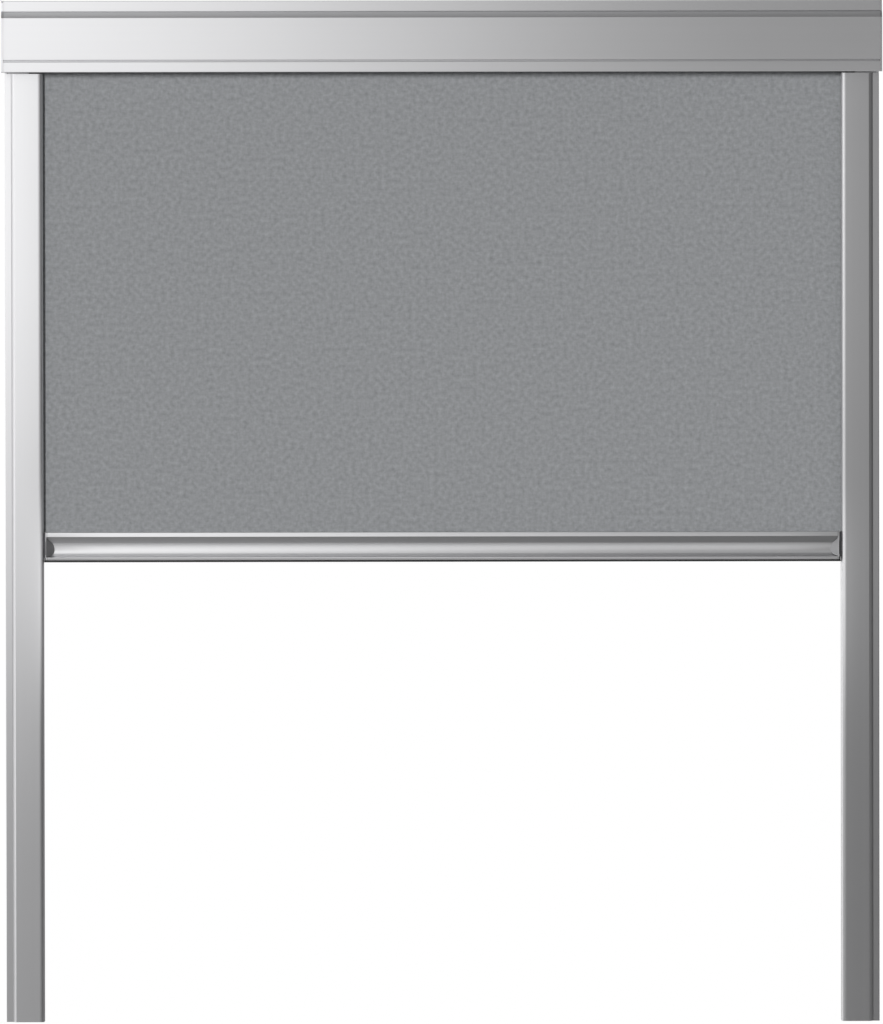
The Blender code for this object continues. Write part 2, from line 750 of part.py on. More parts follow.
def spring_unit():
    """The fixed shaft, its collar, the torsion spring and the driver plug."""
    half = SHAFT_SIZE / 2
    shaft_start = FIT - CAP_FACE + FIT
    shaft_end = shaft_start + SHAFT_LENGTH
    low = (shaft_start, ROLLER_Y - half, ROLLER_Z - half)
    high = (shaft_end, ROLLER_Y + half, ROLLER_Z + half)
    block("spring_shaft", low, high, "steel")
    grip = half + FIT
    square = [(a, b) for a, b, _ in box_corners(
        (ROLLER_Y - grip, ROLLER_Z - grip), (ROLLER_Y + grip, ROLLER_Z + grip))]
    collar_start = PLUG_LENGTH - TUBE_END - FIT + COLLAR_GAP
    collar_end = collar_start + COLLAR_LENGTH
    ring = circle(COLLAR_RADIUS, 24)
    extrude("spring_collar", [ring, square], collar_start, collar_end, "X", "nylon")
    driver_start = shaft_end - DRIVER_LENGTH - FIT
    bore = circle(SHAFT_SIZE * math.sqrt(0.5) + FIT, 24)
    driver = extrude(
        "spring_driver",
        [plug_outline(), bore],
        driver_start,
        driver_start + DRIVER_LENGTH,
        "X",
        "nylon",
    )
    torsion_spring(collar_end + FIT, driver_start - FIT)
    return driver


def torsion_spring(start, end):
    """A helix of round wire about the shaft, with short straight ends."""
    lead = 2 * SPRING_WIRE
    length = end - start - 2 * lead
    count = SPRING_TURNS * SPRING_POINTS
    coil = []
    for i in range(count + 1):
        turn = 2 * math.pi * i / SPRING_POINTS
        coil.append(
            Vector((
                start + lead + length * i / count,
                SPRING_COIL * math.cos(turn),
                SPRING_COIL * math.sin(turn),
            ))
        )
    points = [Vector((start, SPRING_COIL, 0.0)), *coil, Vector((end, SPRING_COIL, 0.0))]
    gap = min(
        (coil[i] - coil[j]).length
        for i in range(len(coil))
        for j in range(i + SPRING_POINTS // 2, len(coil))
    )
    print("torsion spring: least gap %.2f mm" % (1000 * (gap - 2 * SPRING_WIRE)))
    curve = bpy.data.curves.new("torsion_spring", "CURVE")
    curve.dimensions = "3D"
    curve.bevel_depth = SPRING_WIRE
    curve.bevel_resolution = 1
    curve.use_fill_caps = True
    spline = curve.splines.new("POLY")
    spline.points.add(len(points) - 1)
    for target, point in zip(spline.points, points):
        target.co = (*point, 1.0)
    spring = link("torsion_spring", curve, "steel")
    spring.location = (0.0, ROLLER_Y, ROLLER_Z)
    return spring


def idle_side():
    """The pin at the right end of the tube, and the bush that it turns in."""
    start = TUBE_END + FIT - PLUG_LENGTH + FIT
    axis = (ROLLER_Y, ROLLER_Z)
    pin = rod("idle_pin", PIN_RADIUS, start, start + PIN_LENGTH, axis, "steel")
    bush_start = CAP_FACE - SPIGOT_LENGTH + FIT
    inner = PIN_RADIUS + FIT
    profile = [
        (inner, BUSH_LENGTH),
        (inner + BUSH_WALL, BUSH_LENGTH),
        (inner + BUSH_WALL, 0.0),
        (inner, 0.0),
    ]
    turned("bearing_bush", profile, (bush_start, *axis), "nylon")
    return pin


def cove(grow=0.0):
    """The finger recess of the bar in section, from lip to lip in (y, z).

    A sloping ceiling meets the top of a bowl. The bowl is a round arc down to its
    deepest point and a quarter of an ellipse below it. The path is moved into the
    metal by the amount that it grows.
    """
    rise = COVE_DEPTH - CEILING_DEPTH
    radius = (BOWL_DROP ** 2 + rise ** 2) / (2 * rise)
    centre = (BAR_FACE + COVE_DEPTH - radius, COVE_MIDDLE)
    crease = math.degrees(math.asin(BOWL_DROP / radius))
    path = [(BAR_FACE, -UPPER_LIP)] + arc(centre, radius, crease, 0, 6)
    for i in range(1, 10):
        turn = math.radians(90 * i / 9)
        path.append((
            BAR_FACE + COVE_DEPTH * math.cos(turn),
            COVE_MIDDLE - (COVE_MIDDLE - COVE_FOOT) * math.sin(turn),
        ))
    path = beside(path, grow)
    (near, high), (far, low) = path[:2]
    path[0] = (BAR_FACE, high + (low - high) * (BAR_FACE - near) / (far - near))
    path[-1] = (BAR_FACE, path[-1][1])
    return path


def between(path, ceiling, floor):
    """The part of a falling path that lies between two heights."""
    kept = []
    for (a, high), (b, low) in zip(path, path[1:]):
        for level in (ceiling, floor):
            if high > level >= low:
                kept.append((a + (b - a) * (high - level) / (high - low), level))
        if ceiling > low > floor:
            kept.append((b, low))
    return sorted(kept, key=lambda point: -point[1])


def bar_chamber(inset=0.0):
    """The hollow behind the recess, in (y, z) below the top of the bar."""
    ceiling = -HEM_DROP - HEM_CAVITY - BAR_WALL - inset
    floor = SEAL_KEEPER + SEAL_BEAD_HEIGHT + 2 * FIT + BAR_WALL - BAR_HEIGHT + inset
    front = between(cove(BAR_WALL + inset), ceiling, floor)
    back = BAR_BACK - BAR_WALL - inset
    return front + [(back, floor), (back, ceiling)]


def pull_bar():
    """The bar: finger recess in front, cloth slot on top, seal groove below."""
    slot = HEM_SLOT / 2
    foot = -BAR_HEIGHT
    spread = math.degrees(math.asin(slot / HEM_CAVITY))
    cavity = arc((CLOTH_PLANE, -HEM_DROP), HEM_CAVITY, 90 - spread, -270 + spread, 16)
    middle = (BAR_FACE + BAR_BACK) / 2
    stem = SEAL_STEM / 2 + FIT
    bead = SEAL_BEAD / 2 + FIT
    keeper = foot + SEAL_KEEPER
    groove = keeper + SEAL_BEAD_HEIGHT + 2 * FIT
    front = rounded(
        [
            (CLOTH_PLANE - slot, 0.0, 0.0),
            (BAR_FACE, 0.0, EDGE_ROUND),
            (BAR_FACE, -UPPER_LIP, 0.0),
        ]
    )[:-1]
    below = rounded(
        [
            (BAR_FACE, foot + LOWER_LIP, 0.0),
            (BAR_FACE, foot, FINE_ROUND),
            (middle - stem, foot, 0.0),
            (middle - stem, keeper, 0.0),
            (middle - bead, keeper, 0.0),
            (middle - bead, groove, 0.0),
            (middle + bead, groove, 0.0),
            (middle + bead, keeper, 0.0),
            (middle + stem, keeper, 0.0),
            (middle + stem, foot, 0.0),
            (BAR_BACK, foot, EDGE_ROUND),
            (BAR_BACK, 0.0, EDGE_ROUND),
            (CLOTH_PLANE + slot, 0.0, 0.0),
        ]
    )
    outline = front + cove() + below[1:] + cavity
    chamber = bar_chamber()
    return extrude("pull_bar", [outline, chamber], -BAR_END, BAR_END, "X", "aluminium")


def bar_cap(side, sign):
    """The bar's end trim, whose sloping cheek closes the finger recess."""
    corners = box_corners((BAR_FACE, -BAR_HEIGHT), (BAR_BACK, 0.0), EDGE_ROUND)
    ends = (sign * BAR_CAP_FACE, sign * BAR_CAP_END)
    window = bar_chamber()
    cap = extrude(
        "bar_cap_" + side, [rounded(corners), window], *ends, "X", "silver_plastic"
    )
    deep = BAR_CAP_END - CAP_SLOPE
    reach = (sign * deep, sign * (BAR_CAP_FACE + CAP_FLANGE / 2))
    cheek = extrude("tool_cheek_" + side, [cove(-FIT)], *reach, "X")
    boolean(cap, cheek, "UNION")
    reach = (sign * (deep - COVE_DEPTH), sign * (BAR_CAP_END + FIT))
    scoop = extrude("cutter_cheek_" + side, [cove()], *reach, "X")
    slope = math.atan2(CAP_SLOPE - FIT, COVE_DEPTH)
    turn = slope if sign > 0 else math.pi - slope
    half = 3 * COVE_DEPTH
    knife = block("cutter_slope_" + side, (-half, -half, -half), (half, half, half))
    knife.location = (
        sign * (BAR_CAP_END - FIT) - half * math.cos(turn),
        BAR_FACE - half * math.sin(turn),
        COVE_MIDDLE,
    )
    knife.rotation_euler = (0.0, 0.0, turn)
    boolean(scoop, knife, "INTERSECT")
    return boolean(cap, scoop, "DIFFERENCE")


def glide(side, sign):
    """A glide: stem in the bar, flange, and a block in the rail's channel."""
    start = BAR_CAP_END + FIT
    rear = DIVIDER_FACE - FIT - SEAL_THICKNESS - FIT
    low = (rear - GLIDE_DEPTH, GLIDE_MARGIN - BAR_HEIGHT)
    high = (rear, -GLIDE_MARGIN)
    body = rounded(box_corners(low, high, GLIDE_ROUND))
    ends = (sign * start, sign * (start + GLIDE_FLANGE + GLIDE_REACH))
    runner = extrude("glide_" + side, [body], *ends, "X", "dark_plastic")
    flange_low = (low[0] - FIT, GLIDE_MARGIN / 2 - BAR_HEIGHT)
    flange_high = (BAR_BACK - BAR_WALL, -GLIDE_MARGIN / 2)
    flange = rounded(box_corners(flange_low, flange_high, GLIDE_ROUND))
    ends = (sign * start, sign * (start + GLIDE_FLANGE))
    boolean(runner, extrude("tool_flange_" + side, [flange], *ends, "X"), "UNION")
    ends = (sign * (start - FIT - CAP_FLANGE - GLIDE_STEM), sign * (start + FIT))
    stem = extrude("tool_stem_" + side, [bar_chamber(FIT)], *ends, "X")
    boolean(runner, stem, "UNION")
    low, high = pocket_corners(sign, rear, FIT)
    boolean(runner, block("cutter_pocket_" + side, low, high), "DIFFERENCE")
    return runner


def pocket_corners(sign, rear, grow=0.0):
    """The pocket for the brake, in the rear face of a glide's block."""
    near = RAIL_IN + SHOE_INSET
    low_x, high_x = sorted((sign * near, sign * (near + SHOE_WIDTH)))
    middle = -BAR_HEIGHT / 2
    low = (low_x - grow, rear - POCKET_DEPTH, middle - SHOE_HEIGHT / 2 - grow)
    high = (high_x + grow, rear + POCKET_DEPTH, middle + SHOE_HEIGHT / 2 + grow)
    return low, high


def brake(side, sign):
    """The friction shoe that holds the bar, and the leaf spring behind it."""
    rear = DIVIDER_FACE - FIT - SEAL_THICKNESS - FIT
    low, high = pocket_corners(sign, rear)
    face = DIVIDER_FACE - FIT
    shoe = block(
        "brake_shoe_" + side,
        (low[0], face - SHOE_BODY, low[2]),
        (high[0], face, high[2]),
        "felt",
    )
    floor = rear - POCKET_DEPTH + FIT
    bow = []
    half = SHOE_HEIGHT / 2 - FIT
    for i in range(9):
        share = 2 * i / 8 - 1
        bow.append((
            floor + LEAF_BOW * (1 - share ** 2),
            share * half - BAR_HEIGHT / 2,
        ))
    leaf = bow + beside(bow, -LEAF_THICKNESS)[::-1]
    ends = (low[0] + FIT, high[0] - FIT)
    spring = extrude("brake_spring_" + side, [leaf], *ends, "X", "steel")
    return shoe, spring


def bottom_seal():
    """The black seal under the bar, keyed into its groove."""
    middle = (BAR_FACE + BAR_BACK) / 2
    stem = SEAL_STEM / 2
    bead = SEAL_BEAD / 2
    under = -BAR_HEIGHT - FIT
    keeper = SEAL_KEEPER - BAR_HEIGHT + FIT
    outline = rounded(
        [
            (BAR_FACE + FIT, under, 0.0),
            (BAR_FACE + FIT, under - SEAL_LIP, FINE_ROUND),
            (BAR_BACK - FIT, under - SEAL_LIP, FINE_ROUND),
            (BAR_BACK - FIT, under, 0.0),
            (middle + stem, under, 0.0),
            (middle + stem, keeper, 0.0),
            (middle + bead, keeper, 0.0),
            (middle + bead, keeper + SEAL_BEAD_HEIGHT, 0.0),
            (middle - bead, keeper + SEAL_BEAD_HEIGHT, 0.0),
            (middle - bead, keeper, 0.0),
            (middle - stem, keeper, 0.0),
            (middle - stem, under, 0.0),
        ]
    )
    return extrude("bottom_seal", [outline], -BAR_END, BAR_END, "X", "rubber")


def cloth_sheet():
    """The cloth from the roll to the hem rod, cut in at its lower corners."""
    hem = HEM_ROD_RADIUS + FIT - HEM_DROP
    tab = BAR_END - FIT
    wide_foot = BAR_TOP + 2 * FIT
    outline = [
        (-CLOTH_EDGE, ROLLER_Z),
        (CLOTH_EDGE, ROLLER_Z),
        (CLOTH_EDGE, wide_foot),
        (tab, wide_foot),
        (tab, BAR_TOP + hem),
        (-tab, BAR_TOP + hem),
        (-tab, wide_foot),
        (-CLOTH_EDGE, wide_foot),
    ]
    half = CLOTH_THICKNESS / 2
    sheet = extrude("cloth_sheet", [outline], -half, half, "Z", "cloth")
    sheet.rotation_euler = (math.radians(90), 0.0, 0.0)
    sheet.location = (0.0, CLOTH_PLANE, 0.0)
    return sheet


def carry(empty, pieces):
    """Parent pieces to their body's empty, without moving them."""
    for piece in pieces:
        piece.location = Vector(piece.location) - Vector(empty.location)
        piece.parent = empty


def lower(pieces):
    """Bring pieces drawn from the bar's top down to where the bar rests."""
    for piece in pieces:
        piece.location.z += BAR_TOP


def build_head():
    """Everything fixed in the head."""
    casing()
    front_cover()
    for side, sign in SIDES:
        end_cap(side, sign)
        end_cap_screws(side, sign)


def build_rails():
    """Both rails with what is fixed in them."""
    for side, sign in SIDES:
        side_rail(side, sign)
        rail_plug(side, sign)
        light_seal(side, sign)


def build_roller():
    """The roller, on an empty at its axis, and the fixed spring unit."""
    bore = SHAFT_SIZE * math.sqrt(0.5) + FIT
    turning = [
        roller_tube(),
        cloth_strip(),
        cloth_roll(),
        tube_plug("spring_crown", -1, bore, "nylon"),
        tube_plug("idle_plug", 1, PIN_RADIUS + FIT, "nylon"),
        spring_unit(),
        idle_side(),
    ]
    axis = axis_empty("roller_axis", (0.0, ROLLER_Y, ROLLER_Z))
    carry(axis, turning + [bpy.data.objects["tool_spring_crown"]])
    carry(axis, [bpy.data.objects["tool_idle_plug"]])


def build_bar():
    """The pull bar, on an empty at the middle of its top."""
    pieces = [pull_bar(), bottom_seal()]
    rod_axis = (CLOTH_PLANE, -HEM_DROP)
    pieces.append(rod("hem_rod", HEM_ROD_RADIUS, FIT - BAR_END, BAR_END - FIT, rod_axis, "steel"))
    for side, sign in SIDES:
        pieces += [bar_cap(side, sign), glide(side, sign), *brake(side, sign)]
        for tool in BAR_TOOLS:
            pieces.append(bpy.data.objects[tool + side])
    lower(pieces)
    carriage = axis_empty("bar_carriage", (0.0, CLOTH_PLANE, BAR_TOP))
    carry(carriage, pieces)


empty_scene()
build_head()
build_rails()
build_roller()
build_bar()
cloth_sheet()
bpy.context.view_layer.update()
print("cloth roll radius %.2f mm" % (1000 * ROLL_RADIUS))
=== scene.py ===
# %% [markdown]
# # A cordless roller blind for a roof window
#
# The blind is a head with a cloth roller inside, two side rails, a grey blackout
# cloth and a pull bar that runs in the rails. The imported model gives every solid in
# its place. This lesson dresses it: long parts are drawn again as sections carried
# along a line, with the small roundings of a real extrusion, the cloth becomes a
# sheet with a weave, and each finish gets its own shader. The sizes of the pieces
# are in millimetres, and each mesh is scaled to metres when it is made.

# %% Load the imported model
import math
from contextlib import contextmanager

import bmesh
import bpy
import numpy as np
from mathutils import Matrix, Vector
from mathutils.geometry import tessellate_polygon


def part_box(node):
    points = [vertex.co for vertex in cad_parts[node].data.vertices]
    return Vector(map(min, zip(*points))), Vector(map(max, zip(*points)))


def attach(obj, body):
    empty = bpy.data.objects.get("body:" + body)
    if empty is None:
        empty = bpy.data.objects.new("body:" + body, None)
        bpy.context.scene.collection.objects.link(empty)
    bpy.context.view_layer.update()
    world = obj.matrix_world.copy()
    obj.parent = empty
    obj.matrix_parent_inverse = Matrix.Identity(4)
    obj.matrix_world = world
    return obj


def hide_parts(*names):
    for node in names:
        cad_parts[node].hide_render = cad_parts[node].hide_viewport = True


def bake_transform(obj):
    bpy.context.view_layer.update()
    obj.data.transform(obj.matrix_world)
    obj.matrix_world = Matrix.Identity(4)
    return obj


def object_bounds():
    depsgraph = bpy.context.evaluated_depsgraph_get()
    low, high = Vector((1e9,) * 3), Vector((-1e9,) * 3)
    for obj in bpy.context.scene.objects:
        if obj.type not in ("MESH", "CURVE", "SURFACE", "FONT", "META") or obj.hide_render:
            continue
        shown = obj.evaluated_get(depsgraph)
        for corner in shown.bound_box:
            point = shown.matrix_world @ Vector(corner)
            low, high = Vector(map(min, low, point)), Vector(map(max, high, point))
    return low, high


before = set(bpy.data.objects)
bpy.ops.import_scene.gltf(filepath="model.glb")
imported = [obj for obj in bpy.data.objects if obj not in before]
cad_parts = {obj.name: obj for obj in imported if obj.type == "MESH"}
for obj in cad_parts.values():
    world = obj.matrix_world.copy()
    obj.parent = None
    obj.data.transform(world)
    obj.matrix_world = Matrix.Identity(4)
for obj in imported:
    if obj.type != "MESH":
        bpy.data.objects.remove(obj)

cad_low, cad_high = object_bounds()
scene = bpy.context.scene
MM = 0.001
SIDES = (("left", -1), ("right", 1))
WHITE = (1.0, 1.0, 1.0, 1.0)

# %% [markdown]
# ## The camera
#
# The photograph is a product shot with a long lens: upright and level lines stay
# parallel, and the tops of the parts hardly show. So the camera stands twelve metres
# away, a little above the blind. The lens follows from the scale: one pixel is
# 0.7014 mm at the front of the rails.

# %% Camera at the photograph's place
PHOTO_HEIGHT = 1024
PIXEL = 0.7014 * MM
CAMERA_DISTANCE = 12.0
CAMERA_ELEVATION = math.radians(1.6)
CAMERA_ROLL = math.radians(-0.09)
SENSOR = 36.0
AIM = Vector((-0.0006, -0.019, -0.3336))


def add_object(name, data):
    """A new object in the scene, at the origin."""
    made = bpy.data.objects.new(name, data)
    scene.collection.objects.link(made)
    return made


camera = add_object("camera", bpy.data.cameras.new("camera"))
scene.camera = camera
towards_camera = Vector((0.0, -math.cos(CAMERA_ELEVATION), math.sin(CAMERA_ELEVATION)))
camera.location = AIM + towards_camera * CAMERA_DISTANCE
camera.rotation_euler = (-towards_camera).to_track_quat("-Z", "Y").to_euler()
camera.rotation_euler.rotate_axis("Z", CAMERA_ROLL)
camera.data.sensor_width = SENSOR
camera.data.lens = SENSOR * CAMERA_DISTANCE / (PHOTO_HEIGHT * PIXEL)
camera.data.clip_start = 0.1
camera.data.clip_end = 50.0
print("lens %.1f mm" % camera.data.lens)

# %% [markdown]
# ## The studio
#
# The cloth is evenly lit, from the left and a little from above. The metal is a
# satin mirror, so what it shows is the room. The photograph tells that room: bright
# to the left and above, dim to the right and below. Four graded soft boxes make it:
# in front, on the left, above, and a narrow one that fills the pull bar. The cloth's
# light isn't seen by the metal, and the boxes add nothing to the cloth, as with a
# polarising filter.
#
# A box's grading is a formula of the place, so shader values are wrapped in a class
# whose +, - and * add the Math nodes.


# %% Node helpers
def feed(socket, value):
    """Give an input a value, or link it to what feeds it."""
    value = getattr(value, "socket", value)
    if isinstance(value, bpy.types.NodeSocket):
        socket.id_data.links.new(value, socket)
    else:
        socket.default_value = value


def add_node(tree, kind, settings=None, **inputs):
    """Add a shader node. An input is a value, or the socket that feeds it.

    An input named i0, i1 and so on is taken by its place in the node.
    """
    made = tree.nodes.new("ShaderNode" + kind)
    for key, value in (settings or {}).items():
        setattr(made, key, value)
    for key, value in inputs.items():
        by_place = key[0] == "i" and key[1:].isdigit()
        feed(made.inputs[int(key[1:]) if by_place else key.replace("_", " ")], value)
    return made


def calculate(operation, *values):
    """The output of a Math node, in the tree of the values that are numbers."""
    tree = next(v.socket.id_data for v in values if isinstance(v, Number))
    inputs = {"i%d" % index: value for index, value in enumerate(values)}
    return Number(add_node(tree, "Math", {"operation": operation}, **inputs).outputs[0])


class Number:
    """A shader value that can be written into a formula."""

    def __init__(self, socket):
        self.socket = socket

    def __add__(self, other):
        return calculate("ADD", self, other)

    def __mul__(self, other):
        return calculate("MULTIPLY", self, other)

    def __sub__(self, other):
        return calculate("SUBTRACT", self, other)

    def __rsub__(self, other):
        return calculate("SUBTRACT", other, self)

    def __abs__(self):
        return calculate("ABSOLUTE", self)

    __radd__ = __add__
    __rmul__ = __mul__


def ramp(value, start, end, low=0.0, high=1.0, kind="SMOOTHSTEP"):
    """A smooth step: low up to start, high from end."""
    tree, settings = value.socket.id_data, {"interpolation_type": kind}
    return Number(add_node(
        tree, "MapRange", settings, i0=value, i1=start, i2=end, i3=low, i4=high
    ).outputs[0])


def split(tree, vector):
    """The three parts of a vector."""
    return [Number(part) for part in add_node(tree, "SeparateXYZ", i0=vector).outputs]


def noise(tree, place, scale, detail):
    """A smooth noise from 0 to 1."""
    made = add_node(tree, "TexNoise", Vector=place, Scale=scale, Detail=detail)
    return Number(made.outputs["Fac"])


# %% World
AMBIENT = 0.22
ROOM_UP, ROOM_DOWN, ROOM_FRONT = 0.06, 0.10, 0.03
ROOM_LEFT, ROOM_RIGHT = 0.38, 0.27

world = bpy.data.worlds.new("studio")
scene.world = world
world.use_nodes = True
tree = world.node_tree
tree.nodes.clear()
x, y, z = split(tree, add_node(tree, "TexCoord").outputs["Generated"])
up, down = ramp(z, 0.15, 0.75), ramp(z, -0.15, -0.75)
beyond = ramp(x, 0.34, -0.34, ROOM_RIGHT, ROOM_LEFT)
around = ramp(y, -0.4, 0.3) * (beyond - ROOM_FRONT) + ROOM_FRONT
room = up * ROOM_UP + (1.0 - up - down) * around + down * ROOM_DOWN
rays = add_node(tree, "LightPath").outputs
glossy = Number(rays["Is Glossy Ray"])
level = (1.0 - glossy) * AMBIENT + glossy * room
level = calculate("MAXIMUM", level, rays["Is Camera Ray"])
background = add_node(tree, "Background", Color=WHITE, Strength=level)
add_node(tree, "OutputWorld", Surface=background.outputs[0])
scene.view_settings.view_transform = "Standard"
print("world nodes:", len(tree.nodes))


# %% Lamps
def lamp_object(name, lamp, place, target, sees):
    """Stand a lamp at a place, aimed at a target, out of the camera's sight."""
    made = add_object(name, lamp)
    made.location = place
    aim = Vector(target) - Vector(place)
    made.rotation_euler = aim.to_track_quat("-Z", "Y").to_euler()
    made.visible_camera = False
    made.visible_diffuse = sees == "diffuse"
    made.visible_glossy = sees == "gloss"


def soft_box(name, place, target, size, level, sees):
    """A rectangular area lamp. Its radiance is energy / (pi * area)."""
    lamp = bpy.data.lights.new(name, "AREA")
    lamp.shape = "RECTANGLE"
    lamp.size, lamp.size_y = size
    lamp.energy = level * math.pi * size[0] * size[1]
    lamp_object(name, lamp, place, target, sees)
    return lamp


def grade(lamp, strength):
    """Give a soft box a graded cover, whose level is strength(x, y, z)."""
    lamp.use_nodes = True
    tree = lamp.node_tree
    tree.nodes.clear()
    place = add_node(tree, "NewGeometry").outputs["Position"]
    level = strength(*split(tree, place))
    light = add_node(tree, "Emission", Color=WHITE, Strength=level)
    add_node(tree, "OutputLight", Surface=light.outputs[0])


def front_level(x, y, z):
    """Bright to the left above, dim to the right and below."""
    left = ramp(x, 0.26, -0.36)
    far = ramp(x, -0.28, -0.62, 0.0, 0.25)
    top = ramp(z, -0.643, -0.113)
    level = top * (0.55 * left + 0.13 + far) + (0.165 * left + 0.145)
    sides = ramp(x, 1.0, 0.4, 0.1, 1.0) * ramp(x, -1.1, -0.7, 0.4, 1.0)
    return level * sides * ramp(z, 0.8, 0.3, 0.2, 1.0) * ramp(z, -1.0, -0.70, 0.25, 1.0)


def left_level(x, y, z):
    """Brighter the higher, and brightest where the rail's slope sees it."""
    near = ramp(y, -0.17, 0.07, 0.38, 1.0)
    far = ramp(y, 1.0, 0.5, 0.4, 1.0)
    return near * far * ramp(z, -1.02, 0.05, 0.56, 1.12)


def bar_level(x, y, z):
    """A band below the bar, soft at its ends, brighter to the left."""
    ends = ramp(abs(x), 0.285, 0.24)
    band = ramp(z, -0.50, -0.39) * ramp(z, -0.31, -0.37)
    return ends * band * ramp(x, 0.32, -0.32, 0.26, 0.48)


def top_level(x, y, z):
    """Brightest in front and on the left."""
    left = ramp(x, 0.42, -0.42)
    back, front = 0.10 * left + 0.05, 0.14 * left + 0.24
    return ramp(y, 0.16, -0.02) * (front - back) + back


GLOSS_LEVEL = 1.36
BOXES = (
    ("front_box", (0.0, -0.6, -0.4), (0.0, 1.0, 0.0), (3.0, 3.0), front_level),
    ("left_box", (-0.9, 0.42, -0.3), (1.0, 0.0, 0.0), (1.95, 2.6), left_level),
    ("bar_box", (0.0, -0.14, -0.405), (0.0, 1.0, 0.0), (0.58, 0.20), bar_level),
    ("top_box", (0.0, 0.0, 0.6), (0.0, 0.0, -1.0), (3.0, 1.6), top_level),
)
for name, place, aim, size, strength in BOXES:
    target = Vector(place) + Vector(aim)
    grade(soft_box(name, place, target, size, GLOSS_LEVEL, "gloss"), strength)

MIDDLE = (0.0, 0.0, -0.33)
sun = bpy.data.lights.new("key_light", "SUN")
sun.energy = 2.42
sun.angle = math.radians(9)
lamp_object("key_light", sun, (-1.05, -3.0, 0.02), MIDDLE, "diffuse")
soft_box("top_lamp", (0.2, 0.9, 1.9), (0.0, 0.5, -1.0), (1.6, 1.6), 2.2, "diffuse")
soft_box("back_lamp", (0.7, 3.2, 0.4), MIDDLE, (1.8, 1.8), 1.6, "diffuse")

# %% [markdown]
# ## The floor
#
# The blind hangs in its window, so the floor lies well below it. It is a plain pale
# disc, out of the photograph's view, and it fades to the white of the room.

# %% Floor
FLOOR_DROP, FLOOR_RADIUS, FLOOR_POINTS = 0.45, 3.0, 96

floor_material = bpy.data.materials.new("pale_floor")
floor_material.use_nodes = True
tree = floor_material.node_tree
tree.nodes.clear()
place = add_node(tree, "TexCoord").outputs["Object"]
away = add_node(tree, "VectorMath", {"operation": "LENGTH"}, i0=place).outputs["Value"]
grain = noise(tree, place, 14.0, 4.0)
pale, paler = (0.80, 0.80, 0.80, 1.0), (0.84, 0.84, 0.84, 1.0)
tone = add_node(tree, "MixRGB", Fac=grain, Color1=pale, Color2=paler)
paint = add_node(tree, "BsdfDiffuse", Color=tone.outputs[0], Roughness=0.4)
glow = add_node(tree, "Emission", Color=WHITE, Strength=1.0)
seen = add_node(tree, "LightPath").outputs["Is Camera Ray"]
share = ramp(Number(away), 0.9, 2.6) * seen
mixed = add_node(tree, "MixShader", i0=share, i1=paint.outputs[0], i2=glow.outputs[0])
add_node(tree, "OutputMaterial", Surface=mixed.outputs[0])

turn = np.arange(FLOOR_POINTS) * 2 * math.pi / FLOOR_POINTS
floor_rim = np.column_stack((
    FLOOR_RADIUS * np.cos(turn),
    FLOOR_RADIUS * np.sin(turn),
    np.full(FLOOR_POINTS, cad_low.z - FLOOR_DROP),
))
floor_mesh = bpy.data.meshes.new("floor")
floor_mesh.from_pydata(floor_rim.tolist(), [], [list(range(FLOOR_POINTS))])
floor_mesh.materials.append(floor_material)
add_object("floor", floor_mesh)
print("floor %.1f m wide" % (2 * FLOOR_RADIUS))

# %% [markdown]
# ## Shader groups
#
# Several finishes share an effect. Extruded metal has fine lines along its length,
# and every handled surface is a little cloudy, so these are node groups, made once.
# A group gives masks and heights, and each material decides what they do.


# %% Make a node group
def new_group(name, inputs, outputs):
    """An empty shader group with named float or vector sockets."""
    group = bpy.data.node_groups.new(name, "ShaderNodeTree")
    for title, kind, value in inputs:
        socket = group.interface.new_socket(
            name=title, in_out="INPUT", socket_type="NodeSocket" + kind
        )
        socket.default_value = value
    for title in outputs:
        group.interface.new_socket(
            name=title, in_out="OUTPUT", socket_type="NodeSocketFloat"
        )
    entry = group.nodes.new("NodeGroupInput")
    leave = group.nodes.new("NodeGroupOutput")
    return group, entry.outputs, leave.inputs


def use_group(tree, group, **inputs):
    """Place a group in a material, and give its outputs."""
    made = tree.nodes.new("ShaderNodeGroup")
    made.node_tree = group
    for key, value in inputs.items():
        feed(made.inputs[key], value)
    return {output.name: Number(output) for output in made.outputs}


# %% Drawn lines and cloudiness
drawn_lines, given, gives = new_group(
    "drawn_lines",
    [("Place", "Vector", (0, 0, 0)), ("Stretch", "Vector", (1, 1, 1))],
    ["Line", "Streak"],
)
times = {"operation": "MULTIPLY"}
stretched = add_node(
    drawn_lines, "VectorMath", times, i0=given["Place"], i1=given["Stretch"]
).outputs[0]
feed(gives["Line"], noise(drawn_lines, stretched, 1.0, 2.0))
feed(gives["Streak"], noise(drawn_lines, stretched, 0.12, 3.0))

handling, given, gives = new_group(
    "handling_marks",
    [("Place", "Vector", (0, 0, 0)), ("Size", "Float", 0.05)],
    ["Cloud"],
)
rate = calculate("DIVIDE", 1.0, Number(given["Size"]))
feed(gives["Cloud"], noise(handling, given["Place"], rate, 4.0))
print("groups:", drawn_lines.name, handling.name)

# %% [markdown]
# ## Weave
#
# Blackout cloth is a plain weave of polyester threads, about two to the millimetre,
# with a coating on the back. Each thread rises over one crossing and dips under the
# next. The weave is worked out from the place on the cloth, with a soft unevenness
# of the threads, which is what shows from a step away.

